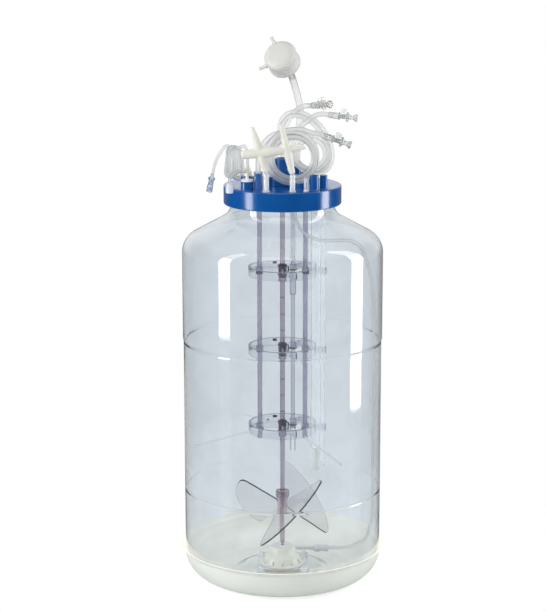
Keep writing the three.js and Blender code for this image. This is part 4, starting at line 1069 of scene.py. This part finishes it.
# %% Drive housing and bearing
housing_profile = rounded([
    (18.8, 669.3), (28, 669.3, 0.4), (28, 682.4, 1.6), (26.4, 684, 0.8), (16.5, 684, 2.2), (14.2, 687, 2),
    (12.5, 694, 1), (12.5, 710.9, 1.2), (11.5, 712.5, 0.4), (8.6, 712.5, 0.4), (8.6, 679, 0.2), (18.8, 679, 0.2),
    (18.8, 669.3)], 12)[:-1]
piece("drive_housing_moulding", turned(housing_profile, 96), BLUE, stands_for=["drive_housing"],
      sharp=40)
grown("drive_housing_ribs", spokes, {"Count": 8, "Circle": 14.2 * MM, "Width": 1.6 * MM, "Depth": 4.4 * MM,
                                     "Height": 8 * MM}, Matrix.Translation((0, 0, 688)), "vessel", BLUE)
piece("shaft_bearing", together(pipe(4.6, 8.4, 669.5, 678.4, 0.4), pipe(8.7, 14.6, 670.4, 677.6, 0.3),
                                pipe(14.9, 18.4, 669.5, 678.4, 0.4)), STEEL, stands_for=["upper_bearing"])
print("drive housing and bearing made")

# %% Clear ports, light post and sleeve
ON_HEAD, CLEAR_PORT_Y = 669.3, -82
for name, x, top in (("left_clear_port", -26, 700), ("right_clear_port", 16, 697)):
    tube = turned(rounded([
        (3.3, ON_HEAD), (6.0, ON_HEAD, 0.3), (6.0, 670.6, 0.4), (4.5, 671.2, 0.8), (4.5, top, 0.5), (3.3, top, 0.4),
        (3.3, ON_HEAD)], 15)[:-1], 40)
    piece(name + "_tube", moved(tube, (x, CLEAR_PORT_Y, 0)), CLEAR_PART, stands_for=[name])
piece("light_guide", moved(turned(rounded([
    (0, ON_HEAD), (5.2, ON_HEAD, 0.3), (5.2, 670.4, 0.4), (3.9, 671, 0.8), (3.9, 690, 1.3), (0, 690)], 15), 40),
    (38, -74, 0)), CLEAR_PART, stands_for=["light_post"])
print("clear ports stand on the head from", ON_HEAD, "mm")
piece("thin_port_sleeve", moved(pipe(5.7, 7.4, 669.4, 699.9, 0.4), (*FRONT_PORT, 0)), CLEAR_PIPE,
      stands_for=["port_sleeve"])

# %% Plug and sampling fitting
plug_shape = moved(turned(rounded([
    (0, 671.4), (3.2, 671.4, 0.8), (3.5, 683.3), (9.9, 683.3, 0.3), (9.9, 686.5, 0.9), (8.4, 686.5, 0.4),
    (7.8, 685.7, 0.3), (3.4, 685.7, 0.6), (2.7, 687, 0.8), (2.5, 696.3, 1.2), (0, 696.3)], 15), 64), (*PLUG_PORT, 0))
piece("port_plug", plug_shape, WHITE, "disc_plug", ["disc_plug"])
fitting_shape = together(
    turned(rounded([
        (0, 687.3), (7, 687.3, 0.4), (7, 694.8, 1), (5.4, 695.8, 0.5), (5, 699.8, 0.4), (3.5, 701, 0.4),
        (3.5, 703.7, 0.6), (0, 703.7)], 15), 40),
    pointed(rod(2.6, 3, 10, 0.5), (0, 0, OUTLET_LEVEL), OUTLET_WAY),
    pointed(pipe(2.7, 3.4, 6.2, 8.0, 0.3), (0, 0, OUTLET_LEVEL), OUTLET_WAY))
piece("sampling_port_fitting", moved(fitting_shape, (*SAMPLING_PORT, 0)), IVORY, stands_for=["sampling_fitting"])
print("plug and fitting on the ports", PLUG_PORT, SAMPLING_PORT)

# %% [markdown]
# ## The soft holder
# The coils are kept on a one-piece rubber holder: two tapered posts pushed on the clear ports and a tapered
# bar that crosses them. Three tapered shapes are fused by a fine remesh and smoothed, which gives the soft
# webs that a rubber moulding has where its arms meet.

# %% Coil holder
WIDEST = 0.42


def spindle(start, end, low, middle, high):
    """A tapered arm from start to end, with three radii: at its foot, where it is widest, and at its tip."""
    start, end = Vector(start), Vector(end)
    length = (end - start).length
    profile = rounded([(0, 0), (low, 0, low * 0.6), (middle, length * WIDEST, 24), (high, length, high * 0.85),
                       (0, length)], 12)
    return pointed(turned(profile, 32), start, (end - start).normalized())


holder = piece("coil_holder_rubber", together(
    spindle((-26, CLEAR_PORT_Y, 701), (-48.6, CLEAR_PORT_Y, 774), 4.8, 7.6, 3.3),
    spindle((16, CLEAR_PORT_Y, 698), (-2.4, CLEAR_PORT_Y, 778), 4.8, 7.2, 3.3),
    spindle((-66.5, CLEAR_PORT_Y, 728.5), (38, CLEAR_PORT_Y, 741), 6.6, 8.8, 2.6)), IVORY_SOFT,
    stands_for=["coil_holder"])
with_modifiers(holder, ("REMESH", {"mode": "VOXEL", "voxel_size": 0.9 * MM, "adaptivity": 0}),
               ("SMOOTH", {"factor": 0.6, "iterations": 9}))
print("holder", len(holder.data.polygons), "faces")

# %% [markdown]
# ## Shaft, drive coupling and impeller
# These turn together. The impeller's ears are flat plates pitched at 45 degrees; light that enters such a
# clear plate leaves at its rim or is lost, so a rim can look dark. Some rim faces take a dark finish that paints this
# shade.

# %% Shaft and coupling
# The tip that runs in the bush is thin, and a turned collar sits just under each cage ring.
CAGE_LEVELS = (525, 391, 257)
SHAFT, COLLAR, COLLAR_TALL, COLLAR_UNDER = 4, 6.6, 5, 11.6
shaft_profile = [(0, 31), (1.6, 31, 0.5), (2.4, 32.4, 0.3), (2.4, 53, 0.2), (SHAFT, 53.6, 0.4)]
for level in CAGE_LEVELS[::-1]:
    top = level - COLLAR_UNDER
    shaft_profile += [(SHAFT, top - COLLAR_TALL, 0.1), (COLLAR, top - COLLAR_TALL, 0.5), (COLLAR, top, 0.5),
                      (SHAFT, top, 0.1)]
shaft_profile += [(SHAFT, 689.6, 0.5), (0, 690)]
piece("agitator_shaft_rod", turned(rounded(shaft_profile, 30), 40), SMOKED, "rotor", ["agitator_shaft"])
grown("shaft_beads", rows, {"Count": 9, "Pitch": 28 * MM, "Ring Radius": 4.05 * MM, "Ridge": 0.35 * MM},
      Matrix.Translation((0, 0, 283)), "rotor", DARK_HUB)
print("shaft with", len(CAGE_LEVELS), "collars")

# %% Drive coupling
HEX_SIDES, SOCKET_POINTS = 6, 48
SOCKET_RINGS = (  # outline, level, size
    ("round", 690.3, 7.6), ("round", 690.8, 8.1), ("round", 708.4, 8.1), ("round", 709, 7.5),
    ("hex", 709, 4.3), ("hex", 708.4, 4.0), ("hex", 695, 4.0))


def hex_coupling():
    """A round cylinder with a hexagonal socket: rings of the two outlines are joined point by point."""
    sides, half_side = SOCKET_POINTS, math.pi / HEX_SIDES
    verts, faces, rings = [], [], []
    for outline, z, size in SOCKET_RINGS:
        ring = []
        for k in range(sides):
            turn = 2 * math.pi * k / sides
            fold = (turn + half_side) % (2 * half_side) - half_side
            reach = size if outline == "round" else size / math.cos(fold)
            ring.append(len(verts))
            verts.append((reach * math.cos(turn), reach * math.sin(turn), z))
        rings.append(ring)
    for a, b in zip(rings, rings[1:]):
        faces += [[a[k], a[(k + 1) % sides], b[(k + 1) % sides], b[k]] for k in range(sides)]
    return outward(verts, faces + [rings[0][::-1], rings[-1]])


piece("drive_socket", hex_coupling(), STEEL, "rotor", ["drive_coupling"], sharp=25)
print("socket with", HEX_SIDES, "flats")

# %% Impeller ears
BLADES, BLADE_PITCH, FIRST_EAR = 3, 45, 45
BLADE_RADIUS, BLADE_Z, EAR_HALF, ROOT_HALF, ROOT_X, EAR_THICK = 79, 121, 80, 14, 7, 2.6


def ear_outline():
    def tip(across):
        return math.sqrt(BLADE_RADIUS ** 2 - across ** 2 / 2)
    corners = [(ROOT_X, 0), (ROOT_X, -ROOT_HALF, 2), (tip(EAR_HALF), -EAR_HALF, 7)]
    corners += [(tip(part * EAR_HALF / 8), part * EAR_HALF / 8) for part in range(-6, 7)]
    corners += [(tip(EAR_HALF), EAR_HALF, 7), (ROOT_X, ROOT_HALF, 2), (ROOT_X, 0)]
    return rounded(corners, 10)[:-1]


def ear(degrees):
    pitch = Matrix.Rotation(math.radians(BLADE_PITCH), 4, "X")
    spot = Matrix.Translation((0, 0, BLADE_Z)) @ Matrix.Rotation(math.radians(degrees), 4, "Z")
    return moved(plate(ear_outline(), -EAR_THICK / 2, EAR_THICK / 2, 0.4), spot @ pitch)


outline = ear_outline()
print(BLADES, "ears, each an outline of", len(outline), "points")

# %% Impeller with painted shade on its edges
# A plate's faces are its two sides and then three rings of rim faces, so the rim faces that lie on one edge are
# found by their place along the outline. Painted shade darkens the first ear's lower edge, the second's upper
# edge, and the third's tip.
SIDES_OF_PLATE, RIM_RINGS, TIP_FROM = 2, 3, 50
middles = [((a[0] + b[0]) / 2, (a[1] + b[1]) / 2) for a, b in zip(outline, outline[1:] + outline[:1])]
painted_shade_edges = [lambda x, y: 9 < x <= TIP_FROM and y < 0, lambda x, y: 9 < x <= TIP_FROM and y > 0,
              lambda x, y: x > TIP_FROM]
faces_of_ear = SIDES_OF_PLATE + RIM_RINGS * len(outline)
rims = [k * faces_of_ear + SIDES_OF_PLATE + ring * len(outline) + i for k in range(BLADES)
        for ring in range(RIM_RINGS) for i, (x, y) in enumerate(middles) if painted_shade_edges[k](x, y)]
blades = together(*[ear(FIRST_EAR + k * 360 / BLADES) for k in range(BLADES)])
piece("impeller_blades", blades, BLADE, "rotor", ["impeller"], sharp=30,
      extra=(BLADE_EDGE_SHADE, rims))
print(len(rims), "dark rim faces")

# %% Impeller hub
piece("impeller_hub", turned(rounded([
    (4.3, 99), (8, 99, 0.8), (9, 103, 0.8), (9, 131, 0.8), (11, 133.4, 0.8), (11, 145, 1.5), (6.5, 145, 0.8),
    (6, 143.5, 0.4), (4.3, 143.5, 0.3), (4.3, 99)], 15)[:-1], 48), HUB_CLEAR, "rotor")
grown("impeller_hub_bands", rows, {"Count": 3, "Pitch": 3.4 * MM, "Ring Radius": 11.0 * MM, "Ridge": 0.5 * MM},
      Matrix.Translation((0, 0, 136)), "rotor", DARK_HUB)
print("hub and its bands made")

# %% [markdown]
# ## Cage rings and tubes inside
# Three clear rings on the dip tubes hold the shaft in line. Each has a thin band, a hub, curved webs and a
# socket for every tube. One function makes a ring, and it is called for the three levels.

# %% Webs and sockets of a cage ring
DIPS = {"left": (-38, 2, 4.1), "right": (38, 2, 4.1), "middle": (17.5, 30, 3.4), "side": (67, -5, 4.5)}
HUB_OUT, BAND_IN, WEB_HALF, WEB_CURL, WEB_STEPS, BAND_MIDDLE = 6.6, 55.6, 0.9, 34, 12, 56


def web(start):
    """A thin upright wall that curls from the hub out to the band."""
    inner, outer = [], []
    for k in range(WEB_STEPS + 1):
        radius = HUB_OUT + (BAND_IN - HUB_OUT) * k / WEB_STEPS
        turn = math.radians(start + WEB_CURL * math.sin(math.pi * k / (2 * WEB_STEPS)))
        nx, ny = -math.sin(turn) * WEB_HALF, math.cos(turn) * WEB_HALF
        inner.append((radius * math.cos(turn) - nx, radius * math.sin(turn) - ny))
        outer.insert(0, (radius * math.cos(turn) + nx, radius * math.sin(turn) + ny))
    return plate(inner + outer, -5, 5, 0.2)


def socket(x, y, radius):
    reach = math.hypot(x, y)
    ring = moved(pipe(radius + 0.4, radius + 2.0, -5, 5, 0.3, 32), (x, y, 0))
    near, far = sorted((reach + (radius + 1.2) * (1 if reach < BAND_MIDDLE else -1), BAND_MIDDLE))
    arm = plate([(near, -0.9), (far, -0.9), (far, 0.9), (near, 0.9)], -4, 4, 0.2)
    return together(ring, moved(arm, Matrix.Rotation(math.atan2(y, x), 4, "Z")))


print("a web has", len(web(0)[1]), "faces; sockets for the", ", ".join(DIPS), "tubes")

# %% Cage rings
# The webs and sockets make one clear piece with the band. The hub is smoked; thin rings under three sockets and
# two small blocks are dark.
def cage_ring(number, level):
    band = pipe(55, 57, -7.5, 7.5, 0.4, 128)
    lip = pipe(54.2, 57, 6.5, 7.6, 0.3, 128)
    clear_parts = together(band, lip, *[web(turn) for turn in (20, 140, 260)],
                           *[socket(*dip) for dip in DIPS.values()])
    name = f"cage_ring_{number}"
    piece(name + "_band", moved(clear_parts, (0, 0, level)), CAGE_CLEAR, stands_for=[name])
    hub = together(pipe(4.6, 7, -11, 11, 0.5), pipe(7.1, 8.2, -9, -6.5, 0.3), pipe(7.1, 8.2, 6.5, 9, 0.3))
    piece(name + "_hub", moved(hub, (0, 0, level)), DARK_HUB)
    dark_pieces = [moved(pipe(radius + 2.1, radius + 3.0, -6.2, -4.2, 0.2, 28), (x, y, 0))
             for x, y, radius in (DIPS["left"], DIPS["right"], DIPS["middle"])]
    dark_pieces += [moved(box(1.1, 2.2, -7, 7, 0.3), (9.6, -2, 1)), moved(box(3.4, 1, 4.5, 8.5, 0.3), (-13, 40, 0))]
    piece(name + "_clips", moved(together(*dark_pieces), (0, 0, level)), DARK_MARK)


for number, level in enumerate(CAGE_LEVELS, 1):
    cage_ring(number, level)
print("cage rings at", CAGE_LEVELS)

# %% Plain dip tubes
UNDER_HEAD, PIPE_THICK, DIP_FOOT = 660.7, 1.2, 236
for side in ("left", "right"):
    x, y, radius = DIPS[side]
    bore = radius - PIPE_THICK
    tube = turned(rounded([
        (bore, DIP_FOOT), (radius, DIP_FOOT, 0.3), (radius, DIP_FOOT + 1, 0.1), (radius, UNDER_HEAD, 0.3),
        (bore, UNDER_HEAD, 0.2), (bore, DIP_FOOT)], 30)[:-1], 36)
    piece(f"{side}_dip_pipe", moved(tube, (x, y, 0)), DIP_PIPE, stands_for=[f"{side}_dip_tube"])
x, y, radius = DIPS["side"]
piece("side_pipe", moved(pipe(radius - PIPE_THICK, radius, 190, UNDER_HEAD, 0.3, 36), (x, y, 0)), PALE_PIPE,
      stands_for=["side_tube"])
print("dip tubes hang down to", DIP_FOOT, "mm")

# %% Middle dip tube
# It carries a thicker collar and ends in two sensor prongs; a clear sleeve covers its upper part.
x, y, radius = DIPS["middle"]
COLLAR_FROM, COLLAR_TO, COLLAR_WIDE = 478, 515, 5.2
middle_shape = together(
    turned(rounded([
        (0, 247), (radius, 247), (radius, COLLAR_FROM, 0.1), (COLLAR_WIDE, COLLAR_FROM, 0.8),
        (COLLAR_WIDE, COLLAR_TO, 0.8), (radius, COLLAR_TO, 0.1), (radius, UNDER_HEAD, 0.3),
        (0, UNDER_HEAD)], 30), 36),
    rod(COLLAR_WIDE, 246, 251, 0.8), *[moved(rod(1.2, 206, 248, 0.5), (side, 0, 0)) for side in (-3.7, 3.7)])
piece("middle_dip_rod", moved(middle_shape, (x, y, 0)), DIP_PIPE, stands_for=["middle_dip_tube"])
piece("middle_dip_sleeve", moved(pipe(3.9, 5.3, 537, UNDER_HEAD, 0.3, 36), (x, y, 0)), PALE_PIPE,
      stands_for=["middle_sleeve"])
print("middle dip tube made")

# %% Filter tube with its porous tip
WIDE_REACH, WIDE_TURN = 66.2, math.radians(-34)
wide_at = (WIDE_REACH * math.cos(WIDE_TURN), WIDE_REACH * math.sin(WIDE_TURN))
piece("filter_pipe", moved(pipe(7.2, 8.4, 231.3, UNDER_HEAD, 0.3, 48), (*wide_at, 0)), PALE_PIPE,
      stands_for=["filter_tube"])
piece("porous_tip", moved(turned(rounded([
    (0, 193), (7.4, 193, 2.4), (7.4, 228, 0.5), (6.9, 228.6, 0.3), (6.9, 231, 0.6), (0, 231)], 12), 56),
    (*wide_at, 0)), POROUS, stands_for=["filter_tip"])
print("filter tube at", tuple(round(v, 1) for v in wide_at))

# %% Pores on the tip
# Small open pores are low domes scattered over a cylinder, with a fixed seed so that every run is the same.
pores, given, result = start_tree("scattered pores", {
    "Radius": (NUMBER, 0.0074), "Height": (NUMBER, 0.03), "Density": (NUMBER, 400000.0), "Grain": (NUMBER, 0.0004),
    "Seed": (WHOLE, 7)})
drum = add_node(pores, "GeometryNodeMeshCylinder",
                {"Vertices": 48, "Radius": given["Radius"], "Depth": given["Height"]}, fill_type="NONE")
scatter = add_node(pores, "GeometryNodeDistributePointsOnFaces",
                   {"Mesh": drum.outputs["Mesh"], "Density": given["Density"], "Seed": given["Seed"]})
grain_ball = add_node(pores, "GeometryNodeMeshIcoSphere", {"Radius": given["Grain"], "Subdivisions": 1})
sown = add_node(pores, "GeometryNodeInstanceOnPoints",
                {"Points": scatter.outputs["Points"], "Instance": grain_ball.outputs["Mesh"]})
end_tree(pores, sown.outputs["Instances"], given, result)
tip_pores = grown("porous_tip_grains", pores, {"Radius": 7.3 * MM, "Height": 30 * MM, "Density": 400000.0,
                                               "Grain": 0.42 * MM, "Seed": 7},
                  Matrix.Translation((*wide_at, 211)), "vessel", POROUS)
print("pores", len(tip_pores.data.polygons), "faces")

# %% Stay rods
# Three thin rods slope from the lowest cage ring out to the wall.
STAY_START = 57.6
for name, turn, reach, high, low in (("left", 200, 155, 254, 238), ("right", -50, 148, 251, 224),
                                     ("rear", 115, 155, 254, 238)):
    way_out = Vector((math.cos(math.radians(turn)), math.sin(math.radians(turn)), 0))
    start, end = way_out * STAY_START + UP * high, way_out * reach + UP * low
    piece(f"stay_{name}", pointed(rod(1.7, 0.3, (end - start).length, 0.7, 20), start, (end - start).normalized()),
          CLEAR_PIPE, stands_for=[f"stay_rod_{name}"])
print("stay rods made")

# %% [markdown]
# ## The floor of the vessel
# A square clear plate with four screwed bosses carries an ivory cone and bush, in which the shaft's tip runs.
# The sparge tube comes down the wall to a grey fitting beside it.

# %% Bearing plate
VESSEL_FLOOR, PLATE_HALF, PLATE_THICK, BOSS_AT = 12.7, 42, 2.4, 38
square = rounded([(0, -PLATE_HALF), (PLATE_HALF, -PLATE_HALF, 9), (PLATE_HALF, PLATE_HALF, 9),
                  (-PLATE_HALF, PLATE_HALF, 9), (-PLATE_HALF, -PLATE_HALF, 9), (0, -PLATE_HALF)], 10)[:-1]
boss = turned(rounded([(0, 0.5), (7.2, 0.5), (7.2, 2.4, 0.1), (6.4, 3.2, 0.8), (6.2, 7.4, 0.7), (3.4, 7.4, 0.3),
                       (3.4, 5.8, 0.2), (0, 5.8)], 15), 36)
corners = [(x, y) for x in (-BOSS_AT, BOSS_AT) for y in (-BOSS_AT, BOSS_AT)]
base = together(plate(square, 0, PLATE_THICK, 0.4), *[moved(boss, (*corner, 0)) for corner in corners])
piece("bearing_plate", moved(base, (0, 0, VESSEL_FLOOR)), CLEAR_PART, stands_for=["bearing_base"])
screws = [moved(rod(2.8, 0, 1.6, 0.4, 20), (*corner, VESSEL_FLOOR + 6.0)) for corner in corners]
piece("bearing_plate_screws", together(*screws), GREY)
print(len(screws), "screwed bosses")

# %% Bearing cone and bush
foot = VESSEL_FLOOR + PLATE_THICK + 0.3
piece("bearing_cone", turned(rounded([
    (0, foot), (37, foot, 0.4), (37, foot + 2.6, 0.8), (33.5, foot + 4, 1.5), (29, 29, 4), (22.5, 37, 6),
    (20, 46, 1.6), (7.3, 46, 0.3), (7.3, 28, 0.2), (0, 28)], 12), 96), IVORY, stands_for=["lower_bearing"])
grown("bearing_cone_ribs", spokes, {"Count": 12, "Circle": 30 * MM, "Width": 2 * MM, "Depth": 9 * MM,
                                    "Height": 7 * MM}, Matrix.Translation((0, 0, 22.6)), "vessel", IVORY)
piece("bearing_bushing", pipe(2.9, 7, 30.2, 47.4, 0.5, 40), WHITE, stands_for=["bearing_bush"])
print("cone and bush made")

# %% Sparge tube and fitting
SPARGE = [(19, -40, UNDER_HEAD), (19, -40, 642), (21, -42, 622), (30, -49, 601), (45, -53, 590), (64, -54, 584),
          (88, -48, 583), (109, -38, 581), (126, -24, 571), (138, -10, 545), (147, 0, 510), (152, 4, 465),
          (154, 6, 400), (154, 8, 300), (154, 10, 200), (154, 12, 120), (152, 15, 80), (142, 20, 52), (124, 26, 37),
          (104, 31, 31), (90, 33, 30), (79.3, 33, 30)]
sparge_path = smooth_path(SPARGE, 4.0)
piece("sparge_pipe", swept(sparge_path, 2.6, 1.6, 16), TUBE, stands_for=["sparge_tube"],
      sharp=50)
sparge_body = turned(rounded([
    (0, 0), (3, 0, 0.5), (3, 36, 0.3), (6.2, 37, 0.4), (6.2, 46, 0.6), (4.4, 47, 0.3), (4.4, 51, 0.3),
    (6.2, 52, 0.4), (6.2, 61, 0.8), (0, 61)], 15), 36)
sparge_place = Matrix.Translation((18, 33, 30)) @ UPRIGHT_TO_X
piece("sparge_head", moved(sparge_body, sparge_place), GREY, stands_for=["sparge_fitting"])
grown("sparge_head_rings", rows, {"Count": 8, "Pitch": 4 * MM, "Ring Radius": 3.0 * MM, "Ridge": 0.3 * MM},
      sparge_place @ Matrix.Translation((0, 0, 4)), "vessel", GREY)
print("sparge tube", round(path_length(sparge_path)), "mm long")

# %% [markdown]
# ## Studio
# Two tall soft boxes stand beside the vessel, and taller ones that only glossy rays meet: their mirror images
# are the long upright bands on the wall. A wide soft box overhead lights the tops. The world is white to the
# eye, so the background stays white without more light. Rays through glass see it white behind the vessel and
# plain grey all round, and glossy rays see dark sides, which draw the outlines.

# %% Lights
VESSEL_MIDDLE = 0.45


def soft_box(name, azimuth, distance, height, width, tall, power, glossy_only=False, upright=False):
    """azimuth is counted from the front, to the right; the box looks level or at the vessel's middle."""
    light = bpy.data.lights.new(name, "AREA")
    light.shape, light.size, light.size_y, light.energy = "RECTANGLE", width, tall, power
    made = bpy.data.objects.new(name, light)
    turn = math.radians(azimuth)
    made.location = (distance * math.sin(turn), -distance * math.cos(turn), height)
    look = Vector((0, 0, height if upright else VESSEL_MIDDLE)) - made.location
    made.rotation_euler = look.to_track_quat("-Z", "Y").to_euler()
    made.visible_camera = made.visible_transmission = False
    made.visible_diffuse = not glossy_only
    bpy.context.scene.collection.objects.link(made)


soft_box("left_box", -66.5, 1.7, 0.735, 0.46, 1.33, 12, upright=True)
soft_box("right_box", 90.3, 1.7, 0.64, 0.56, 1.52, 12, upright=True)
soft_box("left_box_gloss", -66.5, 1.69, 1.74, 0.45, 3.32, 20, glossy_only=True, upright=True)
soft_box("right_box_gloss", 90.3, 1.69, 1.645, 0.55, 3.51, 32, glossy_only=True, upright=True)
soft_box("left_box_foot", -66.5, 1.7, -0.28, 0.45, 0.66, 0.5, glossy_only=True, upright=True)
soft_box("right_box_foot", 90.3, 1.7, -0.4, 0.55, 0.54, 0.3, glossy_only=True, upright=True)
soft_box("top_box", -10, 1.9, 2.2, 1.4, 1.4, 13)
print(len(bpy.data.lights), "lights")

# %% World
# What rays see of the room: a bright backdrop behind the vessel, a dark floor level for mirror images, a pale
# ceiling, and a plain level all round for rays that have come through glass. Light that has bounced off a dull
# surface finds the plain level everywhere.
PLAIN_LEVEL, ALL_ROUND, CEILING = 0.55, 0.62, 0.75
world = bpy.data.worlds.new("studio")
bpy.context.scene.world = world
world.use_nodes = True
sky = world.node_tree
sky.nodes.clear()
rays = add_node(sky, "ShaderNodeLightPath").outputs
direction = add_node(sky, "ShaderNodeTexCoord").outputs["Generated"]
parts = add_node(sky, "ShaderNodeSeparateXYZ", {"Vector": direction}).outputs
behind = add_node(sky, "ShaderNodeMapRange",
                  {"Value": parts["Y"], "From Min": 0.42, "From Max": 0.96, "To Min": 0.14, "To Max": 1.0},
                  interpolation_type="SMOOTHSTEP").outputs["Result"]
above = add_node(sky, "ShaderNodeMapRange",
                 {"Value": parts["Z"], "From Min": -0.12, "From Max": 0.06, "To Min": 0.22}).outputs["Result"]
overhead = add_node(sky, "ShaderNodeMapRange",
                    {"Value": parts["Z"], "From Min": 0.35, "From Max": 0.8, "To Max": CEILING}).outputs["Result"]
all_round = add_node(sky, "ShaderNodeMapRange",
                     {"Value": parts["Z"], "From Min": 0.3, "From Max": 0.05, "To Max": ALL_ROUND}).outputs["Result"]
through, mirrored = rays["Is Transmission Ray"], rays["Is Glossy Ray"]
backdrop = math_node(sky, "MULTIPLY", behind, math_node(sky, "MAXIMUM", above, through))
lit = math_node(sky, "MAXIMUM", backdrop, math_node(sky, "MULTIPLY", all_round, through))
room = math_node(sky, "MAXIMUM", lit, overhead)
no_bounce = math_node(sky, "LESS_THAN", rays["Diffuse Depth"], 0.5)
bent = math_node(sky, "MULTIPLY", math_node(sky, "MAXIMUM", through, mirrored), no_bounce)
level = add_node(sky, "ShaderNodeMix", {0: bent, 2: PLAIN_LEVEL, 3: room}, data_type="FLOAT").outputs[0]
strength = add_node(sky, "ShaderNodeMix", {0: rays["Is Camera Ray"], 2: level, 3: 1.0}, data_type="FLOAT").outputs[0]
background = add_node(sky, "ShaderNodeBackground", {"Color": (1, 1, 1, 1), "Strength": strength})
add_node(sky, "ShaderNodeOutputWorld", {"Surface": background.outputs[0]})
print("world", world.name, "with", len(sky.nodes), "nodes")

# %% Colours and bounces
# Rays cross many clear walls one behind another, so they are allowed many bounces.
BOUNCES = 28
bpy.context.scene.view_settings.view_transform = "Standard"
bpy.context.scene.cycles.max_bounces = BOUNCES
bpy.context.scene.cycles.transmission_bounces = BOUNCES
bpy.context.scene.cycles.transparent_max_bounces = BOUNCES
print("bounces", BOUNCES)

# %% Floor
# Plain pale paper that keeps the vessel's shadow near it and fades into the background further out.
FLOOR_SIDES, FLOOR_RADIUS, FLOOR_LEVEL, PAPER_LIFT = 96, 0.75, -0.0005, 0.24
floor_mesh = bpy.data.meshes.new("floor")
floor_turns = [2 * math.pi * k / FLOOR_SIDES for k in range(FLOOR_SIDES)]
floor_mesh.from_pydata([(FLOOR_RADIUS * math.cos(turn), FLOOR_RADIUS * math.sin(turn), FLOOR_LEVEL)
                        for turn in floor_turns], [], [list(range(FLOOR_SIDES))])
floor = bpy.data.objects.new("floor", floor_mesh)
bpy.context.scene.collection.objects.link(floor)
floor.visible_glossy = False
paper, tree, place, shader, output = base_material("white_paper")
shader.inputs["Base Color"].default_value = (0.96, 0.96, 0.96, 1)
shader.inputs["Roughness"].default_value = 0.9
rays = add_node(tree, "ShaderNodeLightPath")
seen = math_node(tree, "MAXIMUM", rays.outputs["Is Camera Ray"], rays.outputs["Is Transmission Ray"])
reach = add_node(tree, "ShaderNodeVectorMath", {0: place}, operation="LENGTH")
far = add_node(tree, "ShaderNodeMapRange",
               {"Value": reach.outputs["Value"], "From Min": 0.19, "From Max": 0.6}, interpolation_type="SMOOTHSTEP")
share = math_node(tree, "MULTIPLY", seen, far.outputs["Result"])
shader.inputs["Emission Color"].default_value = (1, 1, 1, 1)
tree.links.new(math_node(tree, "MULTIPLY", seen, PAPER_LIFT), shader.inputs["Emission Strength"])
glow = add_node(tree, "ShaderNodeEmission", {"Color": (1, 1, 1, 1), "Strength": 1.0})
mixed_shaders(tree, share, shader.outputs[0], glow.outputs[0], output)
floor_mesh.materials.append(paper)
print("floor of radius", FLOOR_RADIUS, "m")
